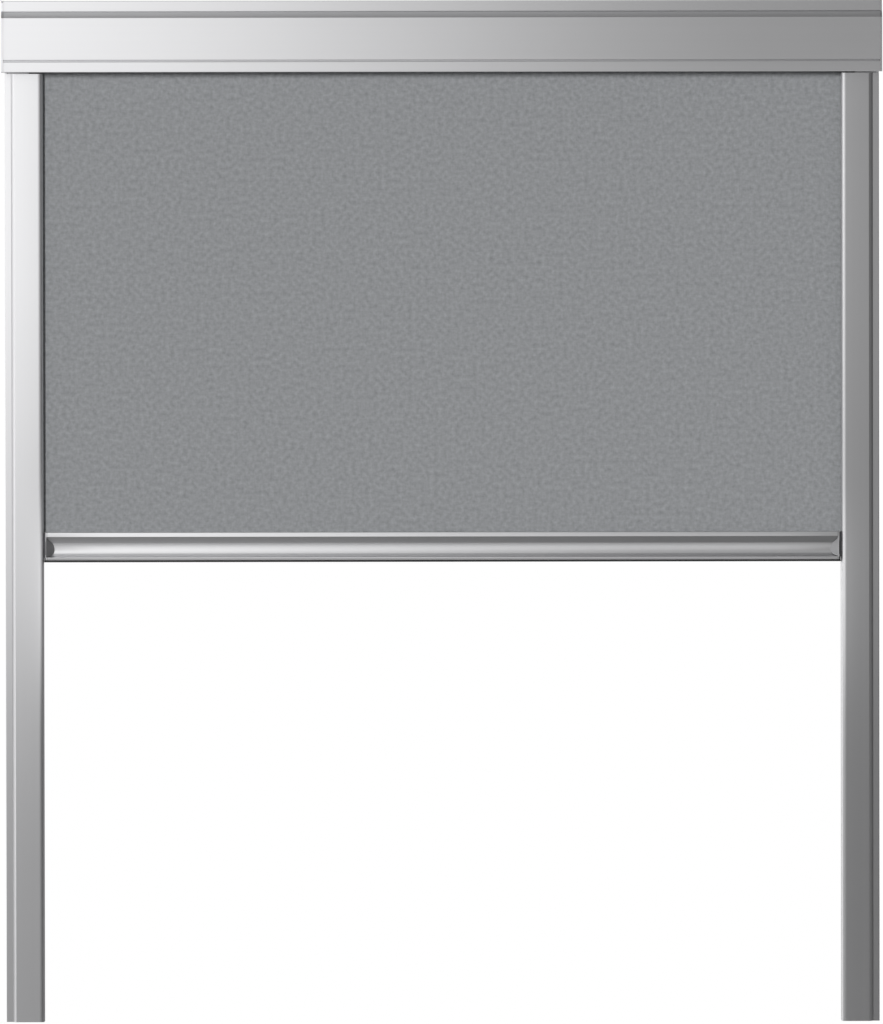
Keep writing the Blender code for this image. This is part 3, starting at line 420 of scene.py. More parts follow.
# %% Weave group
weave, given, gives = new_group(
    "plain_weave",
    [("Place", "Vector", (0, 0, 0)), ("Threads", "Float", 2200.0)],
    ["Height", "Slub"],
)
SLUB_STRETCH, SLUB_SCALE = 0.13, 0.7
x, y, _ = split(weave, given["Place"])
across, along = x * given["Threads"], y * given["Threads"]
column, row = calculate("FLOOR", across), calculate("FLOOR", along)
over = abs(calculate("MODULO", column + row, 2.0))
warp, weft = [abs(calculate("SINE", part * math.pi)) for part in (across, along)]
feed(gives["Height"], warp * over + weft * (1.0 - over))
slubs = []
for i, j in ((column, row * SLUB_STRETCH), (column * SLUB_STRETCH, row)):
    thread = add_node(weave, "CombineXYZ", i0=i, i1=j).outputs[0]
    slubs.append(noise(weave, thread, SLUB_SCALE, 1.0))
feed(gives["Slub"], (slubs[0] + slubs[1]) * 0.5)
print("weave nodes:", len(weave.nodes))

# %% [markdown]
# ## Finishes
#
# One function for each kind of surface. The extrusions are satin anodised
# aluminium, the caps are silver grey mouldings, and the hidden works are nylon and
# zinc plated steel.


# %% Start a material
def new_material(name, colour, roughness, metallic=0.0):
    """A material with its Principled shader and the place on the piece."""
    material = bpy.data.materials.new(name)
    material.use_nodes = True
    tree = material.node_tree
    shader = tree.nodes["Principled BSDF"]
    shader.inputs["Base Color"].default_value = (*colour, 1.0)
    shader.inputs["Roughness"].default_value = roughness
    shader.inputs["Metallic"].default_value = metallic
    place = add_node(tree, "TexCoord").outputs["Object"]
    return material, tree, shader, place


def vary_colour(shader, mask, colour, low, high):
    """Base Color from low to high times the colour, as the mask goes from 0 to 1."""
    ends = [(*[level * part for part in colour], 1.0) for level in (low, high)]
    mixed = add_node(
        shader.id_data, "MixRGB", Fac=mask, Color1=ends[0], Color2=ends[1]
    )
    feed(shader.inputs["Base Color"], mixed.outputs[0])


def vary_roughness(shader, mask, low, high):
    """Roughness from low to high as the mask goes from 0 to 1."""
    feed(shader.inputs["Roughness"], ramp(mask, 0.0, 1.0, low, high, "LINEAR"))


def mottle(shader, place, size, colour, tones, roughness):
    """Cloudy marks of a size, which change colour and roughness a little."""
    cloud = use_group(shader.id_data, handling, Place=place, Size=size)["Cloud"]
    vary_colour(shader, cloud, colour, *tones)
    vary_roughness(shader, cloud, *roughness)


def raise_surface(shader, height, depth, strength=1.0):
    """A bump of a depth in millimetres."""
    made = add_node(
        shader.id_data, "Bump", Strength=strength, Distance=depth * MM, Height=height
    )
    feed(shader.inputs["Normal"], made.outputs[0])


# %% Metal finishes
ALUMINIUM = (0.66, 0.66, 0.67)


def satin_aluminium(name, along):
    """Anodised extrusion: fine die lines along one axis, and a soft cloudiness."""
    material, tree, shader, place = new_material(name, ALUMINIUM, 0.32, 1.0)
    stretch = {"X": (5.0, 2600.0, 2600.0), "Z": (2600.0, 2600.0, 5.0)}[along]
    lines = use_group(tree, drawn_lines, Place=place, Stretch=stretch)
    cloud = use_group(tree, handling, Place=place, Size=0.06)["Cloud"]
    vary_colour(shader, lines["Streak"] * 0.6 + cloud * 0.4, ALUMINIUM, 0.965, 1.035)
    vary_roughness(shader, lines["Streak"], 0.29, 0.35)
    raise_surface(shader, lines["Line"], 0.003, 0.5)
    drawn = {"X": {"i0": 1.0}, "Z": {"i2": 1.0}}[along]
    feed(shader.inputs["Tangent"], add_node(tree, "CombineXYZ", **drawn).outputs[0])
    shader.inputs["Anisotropic"].default_value = 0.6
    shader.inputs["Anisotropic Rotation"].default_value = 0.25
    return material


def plain_steel(name, colour, roughness, along=None):
    """Zinc plated or oiled steel, with drawn lines and a mottled plating."""
    material, tree, shader, place = new_material(name, colour, roughness, 1.0)
    stretch = (40.0, 3000.0, 3000.0) if along == "X" else (1200.0, 1200.0, 1200.0)
    lines = use_group(tree, drawn_lines, Place=place, Stretch=stretch)
    rough = (roughness - 0.06, roughness + 0.1)
    mottle(shader, place, 0.01, colour, (0.85, 1.12), rough)
    raise_surface(shader, lines["Line"], 0.004)
    return material


extrusion_across = satin_aluminium("satin_aluminium_across", "X")
extrusion_upright = satin_aluminium("satin_aluminium_upright", "Z")
mill_aluminium = plain_steel("mill_aluminium", (0.80, 0.80, 0.81), 0.36, "X")
zinc_steel = plain_steel("zinc_plated_steel", (0.70, 0.71, 0.73), 0.3)
spring_steel = plain_steel("oiled_spring_steel", (0.30, 0.30, 0.31), 0.34)
print("metals made")


# %% Moulded and soft finishes
MOULD_GRAIN = 0.05


def moulded_plastic(name, colour, roughness, metallic=0.0):
    """Injection moulding with the fine spark-eroded grain of its tool."""
    material, tree, shader, place = new_material(name, colour, roughness, metallic)
    rough = (roughness - 0.05, roughness + 0.07)
    mottle(shader, place, 0.03, colour, (0.93, 1.07), rough)
    bumps = noise(tree, place, 1.0 / (8 * MOULD_GRAIN * MM), 3.0)
    raise_surface(shader, bumps, MOULD_GRAIN * 0.3, 0.6)
    return material


def felt_material(name, colour):
    """Pressed fibres: two crossing directions of short streaks."""
    material, tree, shader, place = new_material(name, colour, 1.0)
    one = use_group(tree, drawn_lines, Place=place, Stretch=(900.0, 5000.0, 2600.0))
    two = use_group(tree, drawn_lines, Place=place, Stretch=(4200.0, 900.0, 1400.0))
    fibres = one["Line"] * two["Line"]
    vary_colour(shader, fibres * 2.0, colour, 0.4, 1.9)
    raise_surface(shader, fibres, 0.2)
    shader.inputs["Sheen Weight"].default_value = 0.35
    return material


def rubber_material(name, colour):
    """Black rubber with a dull bloom and the lines of its die."""
    material, tree, shader, place = new_material(name, colour, 0.6)
    lines = use_group(tree, drawn_lines, Place=place, Stretch=(8.0, 1800.0, 1800.0))
    mottle(shader, place, 0.02, colour, (0.7, 1.6), (0.5, 0.72))
    raise_surface(shader, lines["Line"], 0.01)
    return material


silver_plastic = moulded_plastic("silver_moulding", (0.62, 0.62, 0.63), 0.3, 1.0)
# The bar's trims take a darker copy of the silver moulding: painted shade, so that the
# cheek that faces away from the light shows dark.
trim_plastic_painted_shade = moulded_plastic("silver_moulding_painted_shade", (0.48, 0.48, 0.49), 0.3, 1.0)
dark_plastic = moulded_plastic("dark_moulding", (0.055, 0.055, 0.06), 0.45)
nylon = moulded_plastic("natural_nylon", (0.66, 0.64, 0.57), 0.4)
black_felt = felt_material("black_felt", (0.045, 0.045, 0.048))
black_rubber = rubber_material("black_rubber", (0.018, 0.018, 0.019))
print("mouldings, felt and rubber made")

# %% Cloth finish
CLOTH_COLOUR = (0.262, 0.270, 0.279)
THREADS_PER_METRE, CLOUDS_PER_METRE = 2100.0, 330.0


def cloth_material(name, source):
    """The blackout cloth, its weave laid on the object's place or on its UV map."""
    material, tree, shader, place = new_material(name, CLOTH_COLOUR, 0.85)
    if source == "UV":
        laid = add_node(tree, "UVMap", {"uv_map": "cloth"}).outputs[0]
    else:
        x, _, z = split(tree, place)
        laid = add_node(tree, "CombineXYZ", i0=x, i1=z).outputs[0]
    threads = use_group(tree, weave, Place=laid, Threads=THREADS_PER_METRE)
    clouds = noise(tree, laid, CLOUDS_PER_METRE, 1.0)
    tone = threads["Slub"] * 0.8 + clouds * 1.4 - 0.6
    vary_colour(shader, tone, CLOTH_COLOUR, 0.80, 1.20)
    raise_surface(shader, threads["Height"], 0.05, 0.5)
    shader.inputs["Sheen Weight"].default_value = 0.05
    shader.inputs["Specular IOR Level"].default_value = 0.2
    return material


cloth_flat = cloth_material("blackout_cloth_flat", "Object")
cloth_wound = cloth_material("blackout_cloth_wound", "UV")
print("cloth made")

# %% [markdown]
# ## Sections
#
# Extruded parts are one section carried along a line. A section is a closed outline
# with a radius at each corner. Two helpers draw it: one rounds the corners, and one
# moves an outline sideways, which gives wall thicknesses and the small chamfer that
# a saw cut gets at its ends.


# %% Outline helpers
def arc(centre, radius, start, end, steps):
    """Points centre + radius * (cos t, sin t), with t from start to end in degrees."""
    turn = np.radians(np.linspace(start, end, steps + 1))
    return np.column_stack((
        centre[0] + radius * np.cos(turn), centre[1] + radius * np.sin(turn)
    ))


def unit(vectors):
    """Each row divided by its length."""
    return vectors / np.linalg.norm(vectors, axis=-1, keepdims=True)


def rounded(corners, steps=5):
    """A closed outline through (a, b, radius), each corner replaced by an arc.

    The arc's centre lies on the corner's bisector, radius / sin(half angle) away.
    """
    table = np.array(corners, float)
    place, radius = table[:, :2], table[:, 2]
    back = unit(np.roll(place, 1, 0) - place)
    ahead = unit(np.roll(place, -1, 0) - place)
    half = np.arccos(np.clip((back * ahead).sum(1), -1, 1)) / 2
    outline = []
    for k, size in enumerate(radius):
        if size <= 0:
            outline.append(place[k:k + 1])
            continue
        centre = place[k] + unit(back[k] + ahead[k]) * size / math.sin(half[k])
        reach = size / math.tan(half[k])
        first = place[k] + back[k] * reach - centre
        last = place[k] + ahead[k] * reach - centre
        begin = math.degrees(math.atan2(first[1], first[0]))
        sweep = math.degrees(math.atan2(last[1], last[0])) - begin
        sweep = (sweep + 180) % 360 - 180
        outline.append(arc(centre, size, begin, begin + sweep, steps))
    return np.vstack(outline)


def beside(path, distance, closed=False):
    """A path moved to its left: p + d (n1 + n2) / (1 + n1 . n2), with normals n."""
    path = np.array(path, float)
    step = unit(np.roll(path, -1, 0) - path)
    after = np.column_stack((-step[:, 1], step[:, 0]))
    before = np.roll(after, 1, 0)
    if not closed:
        after[-1] = before[-1]
        before[0] = after[0]
    share = 1 + (after * before).sum(1, keepdims=True)
    return path + distance * (after + before) / share


def turned_way(loop, hollow=False):
    """The loop, running so that the material lies on its left."""
    ahead = np.roll(loop, -1, 0)
    area = (loop[:, 0] * ahead[:, 1] - loop[:, 1] * ahead[:, 0]).sum()
    return loop[::-1] if (area > 0) == hollow else loop


def path_length(path):
    """The length of an open path."""
    return float(np.linalg.norm(np.diff(path, axis=0), axis=1).sum())


# %% [markdown]
# ## From section to solid
#
# Ring k of an outline is its copy at station k, so the sides are one grid of quads.
# The rings at both ends are drawn in a little, which makes the chamfer, and the ends
# are closed with the triangles that fill the outline less its hollows.


# %% Mesh helpers
def smooth(mesh, angle=32):
    """Shade smooth, with a sharp edge wherever faces meet at more than the angle."""
    mesh.shade_smooth()
    mesh.set_sharp_from_angle(angle=math.radians(angle))


@contextmanager
def editing(mesh):
    """Open a mesh for editing, and write it back afterwards."""
    work = bmesh.new()
    work.from_mesh(mesh)
    yield work
    work.to_mesh(mesh)
    work.free()


def mesh_piece(name, points, faces, material, angle=32):
    """An object of points in millimetres, faces outwards, sharp edges marked."""
    mesh = bpy.data.meshes.new(name)
    mesh.from_pydata((np.asarray(points) * MM).tolist(), [], faces)
    with editing(mesh) as work:
        bmesh.ops.recalc_face_normals(work, faces=work.faces)
    smooth(mesh, angle)
    mesh.materials.append(material)
    return add_object(name, mesh)


def ring_quads(rings, size, first=0, closed=True):
    """Quads between neighbouring rings of a grid of rings * size points."""
    i, j = np.meshgrid(
        np.arange(rings - 1), np.arange(size if closed else size - 1), indexing="ij"
    )
    k = (j + 1) % size
    corners = (i * size + j, i * size + k, (i + 1) * size + k, (i + 1) * size + j)
    return (first + np.stack(corners, -1).reshape(-1, 4)).tolist()


def joined_grids(front, back):
    """Points and faces of two grids of (rows, columns, 3), joined round their rim."""
    rows, columns = front.shape[:2]
    count = rows * columns
    quads = np.array(ring_quads(rows, columns, closed=False))
    index = np.arange(count).reshape(rows, columns)
    sides = (index[0], index[1:, -1], index[-1, -2::-1], index[-2:0:-1, 0])
    rim = np.concatenate(sides)
    turn = np.roll(rim, -1)
    edge = np.stack((rim, turn, turn + count, rim + count), -1)
    faces = np.vstack((quads, quads[:, ::-1] + count, edge)).tolist()
    return np.vstack((front.reshape(-1, 3), back.reshape(-1, 3))), faces


def extruded(name, outline, ends, axis, material, hollows=(), chamfer=0.05):
    """A section carried along an axis from one end to the other, its ends chamfered.

    At station s its points are (s, a, b) along X, (a, s, b) along Y, (a, b, s) along Z.
    """
    loops = [turned_way(np.asarray(outline))]
    loops += [turned_way(np.asarray(hollow), True) for hollow in hollows]
    start, end = ends
    points, faces, caps = [], [], [[], []]
    count = 0
    for loop in loops:
        small = beside(loop, chamfer, closed=True)
        rings = (
            (small, start), (loop, start + chamfer), (loop, end - chamfer), (small, end)
        )
        points += [np.insert(ring, "XYZ".index(axis), s, axis=1) for ring, s in rings]
        faces += ring_quads(4, len(loop), count)
        caps[0].append((small, count))
        caps[1].append((small, count + 3 * len(loop)))
        count += 4 * len(loop)
    for cap in caps:
        order = np.concatenate([first + np.arange(len(loop)) for loop, first in cap])
        drawn = [[Vector((*point, 0.0)) for point in loop] for loop, _ in cap]
        faces += order[np.array(tessellate_polygon(drawn))].tolist()
    return mesh_piece(name, np.vstack(points), faces, material)


def keep_modifiers(piece):
    """Turn the piece's modifiers into mesh, and give the mesh."""
    bpy.context.view_layer.update()
    graph = bpy.context.evaluated_depsgraph_get()
    mesh = bpy.data.meshes.new_from_object(piece.evaluated_get(graph))
    piece.modifiers.clear()
    piece.data = mesh
    return mesh


def drill(piece, cutters):
    """Cut holes, and remove the cutters."""
    for cutter in cutters:
        step = piece.modifiers.new("hole", "BOOLEAN")
        step.operation = "DIFFERENCE"
        step.solver = "EXACT"
        step.object = cutter
    smooth(keep_modifiers(piece))
    for cutter in cutters:
        bpy.data.objects.remove(cutter, do_unlink=True)


def hole_cutter(centre, radius, ends, axis):
    """A round bar along an axis, to cut a hole with."""
    ring = arc(centre, radius, 0, 360, 40)[:-1]
    return extruded("cutter", ring, ends, axis, None, chamfer=0.01)


def dress(piece, body, slot, *nodes):
    """The piece rides on a body and stands for CAD nodes. The slot is not used."""
    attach(piece, body)
    if nodes:
        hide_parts(*nodes)
    print("%-22s %6d faces" % (piece.name, len(piece.data.polygons)))


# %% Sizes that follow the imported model
def box_mm(node):
    """The (low, high) ranges of a CAD node along X, Y and Z, in millimetres."""
    return np.transpose(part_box(node)) / MM


JOINT = 0.25
FIT = 0.3
(_, head_end), (STRIP_FACE, _), (HEAD_FOOT, HEAD_TOP) = box_mm("casing")
HEAD_END = head_end + JOINT
HEAD_FACE = box_mm("front_cover")[1][0]
(RAIL_IN, RAIL_OUT), (RAIL_FACE, _), (RAIL_FOOT, RAIL_TOP) = box_mm("rail_right")
(_, bar_end), (BAR_FACE, BAR_BACK), (BAR_FOOT, BAR_TOP) = box_mm("pull_bar")
BAR_END = bar_end + JOINT
CLOTH_EDGE = box_mm("cloth_sheet")[0][1]
CLOTH_PLANE = box_mm("cloth_sheet")[1].mean()
CLOTH_THICKNESS = 0.36
print("rails %.1f mm apart outside" % (2 * RAIL_OUT))

# %% [markdown]
# ## The head
#
# The head is two extrusions. The rear shell is the back, the top and the narrow
# strip in front. The cover snaps on below the strip: it slopes forward, drops as a
# very slightly crowned fascia, and has a fine groove above its lower edge. Both get
# the small roundings that catch the light along every edge.

# %% Rear shell
WALL = 1.4
STRIP_FOOT = HEAD_TOP - 7.4
SLOT_HALF, SLOT_LIP = 2.5, 3.5
PORT_BORE, PORT_OUTER = 1.5, 2.7
PORT_BED = PORT_BORE + WALL / 2
PORT_OVERLAP = 0.05
PORT_MOUTH = 0.7
PORT_TOP = (-8.0, HEAD_TOP - WALL - PORT_BED)
PORT_REAR = (-WALL - PORT_BED, -12.0)


def screw_port(centre, turn):
    """The C-shaped channel for an end cap screw: two arcs about one centre."""
    spread = math.degrees(math.asin((PORT_BED - PORT_OVERLAP) / PORT_OUTER))
    mouth = math.degrees(math.asin(PORT_MOUTH * PORT_BORE / PORT_OUTER))
    throat = math.degrees(math.asin(PORT_MOUTH))
    return np.vstack((
        arc(centre, PORT_OUTER, turn + 90 + spread, turn + mouth, 10),
        arc(centre, PORT_BORE, turn + throat, turn + 360 - throat, 14),
        arc(centre, PORT_OUTER, turn - mouth, turn - 90 - spread, 10),
    ))[::-1]


slot_rear = CLOTH_PLANE + SLOT_HALF
shell_outside = rounded([
    (slot_rear, HEAD_FOOT, 0.3),
    (0.0, HEAD_FOOT, 0.5),
    (0.0, HEAD_TOP, 0.5),
    (STRIP_FACE + 0.3, HEAD_TOP, 0.1),
    (STRIP_FACE, HEAD_TOP - 0.3, 0.1),
    (STRIP_FACE, STRIP_FOOT, 0.25),
    (STRIP_FACE + WALL, STRIP_FOOT, 0.2),
    (STRIP_FACE + WALL, HEAD_TOP - WALL, 0.3),
    (PORT_TOP[0], HEAD_TOP - WALL, 0.0),
])[:-1]
shell_inside = np.vstack((
    screw_port(PORT_TOP, -90),
    [(-WALL, HEAD_TOP - WALL)],
    screw_port(PORT_REAR, 180),
    [
        (-WALL, HEAD_FOOT + WALL),
        (slot_rear + WALL, HEAD_FOOT + WALL),
        (slot_rear + WALL, HEAD_FOOT + SLOT_LIP),
        (slot_rear, HEAD_FOOT + SLOT_LIP),
    ],
))
shell_section = np.vstack((shell_outside, shell_inside))
head_ends = (-HEAD_END, HEAD_END)
shell = extruded("head_rear_shell", shell_section, head_ends, "X", extrusion_across)
print("rear shell section:", len(shell_section), "points")

# %% Front cover
GROOVE = HEAD_FOOT + 7.9
GROOVE_HALF, GROOVE_DEPTH, GROOVE_FLOOR = 0.9, 1.5, 0.12
FACET_FOOT = STRIP_FOOT - 4.5
TONGUE = 3.5
CROWN = 0.4


def fascia(top, foot, rounds, points=17):
    """The fascia's face: it bows forward by the crown, as 1 - (2 t - 1)^2."""
    t = np.linspace(0.0, 1.0, points)
    bow = CROWN * (1 - (2 * t - 1) ** 2)
    radius = np.zeros(points)
    radius[[0, -1]] = rounds
    return np.column_stack((HEAD_FACE + CROWN - bow, top + (foot - top) * t, radius))


tongue = STRIP_FACE + WALL + FIT
facet_top = STRIP_FOOT - FIT
cover_face = np.vstack((
    [
        (tongue, facet_top + TONGUE, 0.2),
        (tongue, facet_top, 0.0),
        (STRIP_FACE, facet_top, 0.25),
    ],
    fascia(FACET_FOOT, GROOVE + GROOVE_HALF, (0.5, 0.25)),
    [
        (HEAD_FACE + GROOVE_DEPTH, GROOVE + GROOVE_FLOOR, 0.1),
        (HEAD_FACE + GROOVE_DEPTH, GROOVE - GROOVE_FLOOR, 0.1),
        (HEAD_FACE + CROWN, GROOVE - GROOVE_HALF, 0.25),
        (HEAD_FACE + CROWN, HEAD_FOOT, 0.6),
        (CLOTH_PLANE - SLOT_HALF, HEAD_FOOT, 0.3),
        (CLOTH_PLANE - SLOT_HALF, HEAD_FOOT + SLOT_LIP, 0.3),
    ],
))
cover_inner = beside(cover_face[:, :2], WALL)[::-1]
cover_section = rounded(np.vstack((
    cover_face, np.column_stack((cover_inner, np.zeros(len(cover_inner))))
)))
cover = extruded("head_front_cover", cover_section, head_ends, "X", extrusion_across)
dress(cover, "frame", "satin_aluminium", "front_cover")

# %% Screw holes of the head
HOLE_X, HOLE_Z, HOLE_RADIUS = 250.3, 16.5, 2.25
drill(shell, [
    hole_cutter((sign * HOLE_X, HOLE_Z), HOLE_RADIUS, (-5, 5), "Y")
    for _, sign in SIDES
])
dress(shell, "frame", "satin_aluminium", "casing")

# %% [markdown]
# ## The side rails
#
# Each rail is one extrusion: a channel that opens inwards for the cloth's edge and
# the glide, in front of a closed chamber that stiffens it. Its front steps back
# along the outside. The inner lip has a large round nose, because hands and cloth
# pass it, and it draws a bright line down the right rail. The front stops a little
# short of the head, which leaves the dark line that is seen there.

# %% Rails
RAIL_WALL = 1.5
RAIL_WIDTH = RAIL_OUT - RAIL_IN
DIVIDER, CHAMBER_FACE = -8.6, -7.1
LIP_ROUND, LIP_DEPTH = 4.0, 2.5
STEP_OUT = RAIL_WIDTH - 4.4
STEP_WIDTH, STEP_DEPTH = 2.6, 3.8
SHADOW_GAP, CUT_DEPTH, MARGIN = 0.7, 6, 1
RAIL_HOLE_Y, RAIL_HOLE_RADIUS, RAIL_HOLE_REACH = -11.9, 2.1, (-3, 2)
RAIL_HOLES = (-75.3, -358.4, -641.5)

lip_turn = np.linspace(math.acos(1 - LIP_DEPTH / LIP_ROUND), 0.0, 11)
lip = np.column_stack((
    LIP_ROUND * (math.sin(lip_turn[0]) - np.sin(lip_turn)),
    RAIL_FACE + LIP_ROUND * (1 - np.cos(lip_turn)),
))
rail_front = np.vstack((lip, [
    (STEP_OUT - STEP_WIDTH, RAIL_FACE),
    (STEP_OUT, RAIL_FACE + STEP_DEPTH),
    (RAIL_WIDTH, RAIL_FACE + STEP_DEPTH),
    (RAIL_WIDTH, DIVIDER),
]))
rail_inner = beside(rail_front, RAIL_WALL)
rail_inner[:len(lip), 1] = np.minimum(rail_inner[:len(lip), 1], RAIL_FACE + LIP_DEPTH)
no_rounds = [0.0] * len(lip)
front_part = np.column_stack((rail_front[:-1], no_rounds + [0.5, 0.4, 0.6]))
inner_part = np.column_stack((rail_inner, no_rounds + [0.3, 0.4, 0.4, 0.4]))
back_part = [(RAIL_WIDTH, 0.0, 0.4), (0.0, 0.0, 0.4), (0.0, DIVIDER, 0.4)]
rail_section = rounded(np.vstack((front_part, back_part, inner_part[::-1])), 8)
chamber_section = rounded([
    (RAIL_WALL, CHAMBER_FACE, 0.4),
    (RAIL_WIDTH - RAIL_WALL, CHAMBER_FACE, 0.4),
    (RAIL_WIDTH - RAIL_WALL, -RAIL_WALL, 0.4),
    (RAIL_WALL, -RAIL_WALL, 0.4),
])


def front_cutter(sign):
    """A block over the rail's front, which leaves the shadow gap under the head."""
    low = np.array((RAIL_IN - MARGIN, RAIL_FACE - MARGIN, RAIL_TOP - SHADOW_GAP))
    high = np.array((RAIL_OUT + MARGIN, RAIL_FACE + CUT_DEPTH, RAIL_TOP + MARGIN))
    corner = np.array([(i & 1, i >> 1 & 1, i >> 2) for i in range(8)])
    points = (low + (high - low) * corner) * (sign, 1, 1)
    sides = [(0, 1, 3, 2), (4, 6, 7, 5), (0, 4, 5, 1)]
    sides += [(2, 3, 7, 6), (0, 2, 6, 4), (1, 5, 7, 3)]
    return mesh_piece("cutter", points, sides, extrusion_upright)


for side, sign in SIDES:
    outline, hollow = [
        (section + (RAIL_IN, 0.0)) * (sign, 1)
        for section in (rail_section, chamber_section)
    ]
    ends = (RAIL_FOOT, RAIL_TOP + JOINT)
    rail = extruded(
        "side_rail_" + side, outline, ends, "Z", extrusion_upright, [hollow]
    )
    reach = sorted(sign * (RAIL_OUT + step) for step in RAIL_HOLE_REACH)
    drill(rail, [
        hole_cutter((RAIL_HOLE_Y, z), RAIL_HOLE_RADIUS, reach, "X") for z in RAIL_HOLES
    ])
    drill(rail, [front_cutter(sign)])
    dress(rail, "frame", "satin_aluminium", "rail_" + side)

# %% [markdown]
# ## The pull bar
#
# This is the piece that takes the most care. In section the bar has a lip on top, a
# ceiling that slopes back and down, a bowl for the fingertips and a lower lip. On
# top is the slot that holds the cloth's hem rod, and below is the groove of the
# seal. The bowl is a round arc to its deepest point and a quarter ellipse below it.
# The ceiling looks down into the bar's own shade, so its metal gets a darker tone.

# %% Pull bar section
COVE_DEPTH = 6.0
CEILING_DEPTH, CEILING_DROP = 4.8, 4.7
BOWL_DROP = 4.7
UPPER_LIP, LOWER_LIP = 3.2, 2.1
LIP_LEAN = 1.0
BAR_HEIGHT = BAR_TOP - BAR_FOOT
BAR_WALL = 1.3
HEM_CENTRE = (CLOTH_PLANE, -3.4)
HEM_RADIUS, HEM_SLOT = 1.7, 0.7
CHAMBER_TOP, CHAMBER_FOOT = -6.4, -16.3
ROUND_STEPS = 6
KEY_GROOVE = ((1.2, 0.0, 0.15), (1.2, 0.7, 0.0), (2.2, 0.7, 0.0), (2.2, 2.1, 0.0))
bar_middle = (BAR_FACE + BAR_BACK) / 2


def recess(points=24):
    """The finger recess from lip to lip, in (y, z) below the top of the bar.

    Ceiling: a straight slope. Upper bowl: an arc of radius (h^2 + d^2) / (2 d).
    Lower bowl: depth * cos t, drop * sin t, with t from 0 to 90 degrees.
    """
    rise = COVE_DEPTH - CEILING_DEPTH
    radius = (BOWL_DROP ** 2 + rise ** 2) / (2 * rise)
    middle = -UPPER_LIP - CEILING_DROP - BOWL_DROP
    crease = math.degrees(math.asin(BOWL_DROP / radius))
    upper = arc((BAR_FACE + COVE_DEPTH - radius, middle), radius, crease, 0, points)
    t = np.linspace(0.0, math.pi / 2, points)[1:]
    drop = middle + BAR_HEIGHT - LOWER_LIP
    lower = (BAR_FACE + COVE_DEPTH * np.cos(t), middle - drop * np.sin(t))
    return np.vstack(([(BAR_FACE, -UPPER_LIP)], upper, np.column_stack(lower)))


def key_corners(half, way):
    """A T under the bar: (half width, height, radius) on one side, then mirrored."""
    sides = [
        [(bar_middle + sign * w, h - BAR_HEIGHT, r) for w, h, r in half]
        for sign in (way, -way)
    ]
    return sides[0] + sides[1][::-1]


hem_spread = math.degrees(math.asin(HEM_SLOT / HEM_RADIUS))
hem_slot = arc(HEM_CENTRE, HEM_RADIUS, 90 - hem_spread, -270 + hem_spread, 28)
# The first three corners. The others only lead on from the third and to the first.
bar_front = rounded([
    (CLOTH_PLANE - HEM_SLOT, 0.0, 0.2),
    (BAR_FACE, 0.0, 0.8),
    (BAR_FACE, -UPPER_LIP, 0.3),
    (BAR_FACE + CEILING_DEPTH, -UPPER_LIP - CEILING_DROP, 0.0),
    (CLOTH_PLANE, -UPPER_LIP - CEILING_DROP, 0.0),
    (CLOTH_PLANE - HEM_SLOT, -HEM_RADIUS, 0.0),
], ROUND_STEPS)[:3 * (ROUND_STEPS + 1)]
# All corners but the first, which only gives the ways in and out.
bar_below = rounded([
    (BAR_FACE + 1.0, LOWER_LIP - BAR_HEIGHT, 0.0),
    (BAR_FACE, LOWER_LIP - BAR_HEIGHT, 0.3),
    (BAR_FACE + LIP_LEAN, -BAR_HEIGHT, 0.4),
    *key_corners(KEY_GROOVE, -1),
    (BAR_BACK, -BAR_HEIGHT, 0.7),
    (BAR_BACK, 0.0, 0.7),
    (CLOTH_PLANE + HEM_SLOT, 0.0, 0.2),
], ROUND_STEPS)[1:]
# The rounds of the two lips stand for the ends of the recess.
bar_section = np.vstack((bar_front, recess()[1:-3], bar_below, hem_slot))
bar_section += (0.0, BAR_TOP)
wall_line = beside(recess(), BAR_WALL)
levels = np.linspace(CHAMBER_TOP, CHAMBER_FOOT, 18)
wall_depth = np.interp(-levels, -wall_line[:, 1], wall_line[:, 0])
bar_chamber = np.vstack((
    np.column_stack((wall_depth, levels)),
    [(BAR_BACK - BAR_WALL, CHAMBER_FOOT), (BAR_BACK - BAR_WALL, CHAMBER_TOP)],
)) + (0.0, BAR_TOP)


# %% Pull bar
CEILING_FOOT, CEILING_SOFTNESS, CEILING_SHADE = 7.8, 0.6, 0.42


def shade_ceiling(material, foot, depth):
    """Darken what faces down above a height: little light reaches the ceiling."""
    tree = material.node_tree
    shader = tree.nodes["Principled BSDF"]
    spot = add_node(tree, "TexCoord").outputs
    facing, height = split(tree, spot["Normal"])[2], split(tree, spot["Object"])[2]
    soft = CEILING_SOFTNESS
    above = ramp(height, (foot - soft) * MM, (foot + soft) * MM, 0.0, depth)
    share = ramp(facing, -0.05, -0.3) * above
    plain = shader.inputs["Base Color"].links[0].from_socket
    black = (0.0, 0.0, 0.0, 1.0)
    tone = add_node(tree, "MixRGB", Fac=share, Color1=plain, Color2=black)
    feed(shader.inputs["Base Color"], tone.outputs[0])


bar_aluminium = satin_aluminium("satin_aluminium_bar", "X")
shade_ceiling(bar_aluminium, BAR_TOP - CEILING_FOOT, CEILING_SHADE)
bar_ends = (-BAR_END, BAR_END)
bar = extruded(
    "pull_bar_profile", bar_section, bar_ends, "X", bar_aluminium, [bar_chamber]
)
dress(bar, "bar", "satin_aluminium", "pull_bar")

# %% [markdown]
# ## Mouldings
#
# The end caps, the bar's end trims, the glides and the rail plugs are copies of the
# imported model. Loose triangles are merged back into flat faces, and a small bevel
# gives the rounded edges that a mould leaves. The trims' cheeks are drawn wider and
# the glides' ends are moved up a little, as the photograph shows them.


# %% Moulded copies
CHEEK_WIDTH = 6.3
FLANGE_RIM, FLANGE_UP, FLANGE_FOOT_UP = 1.2, 0.5, 1.6


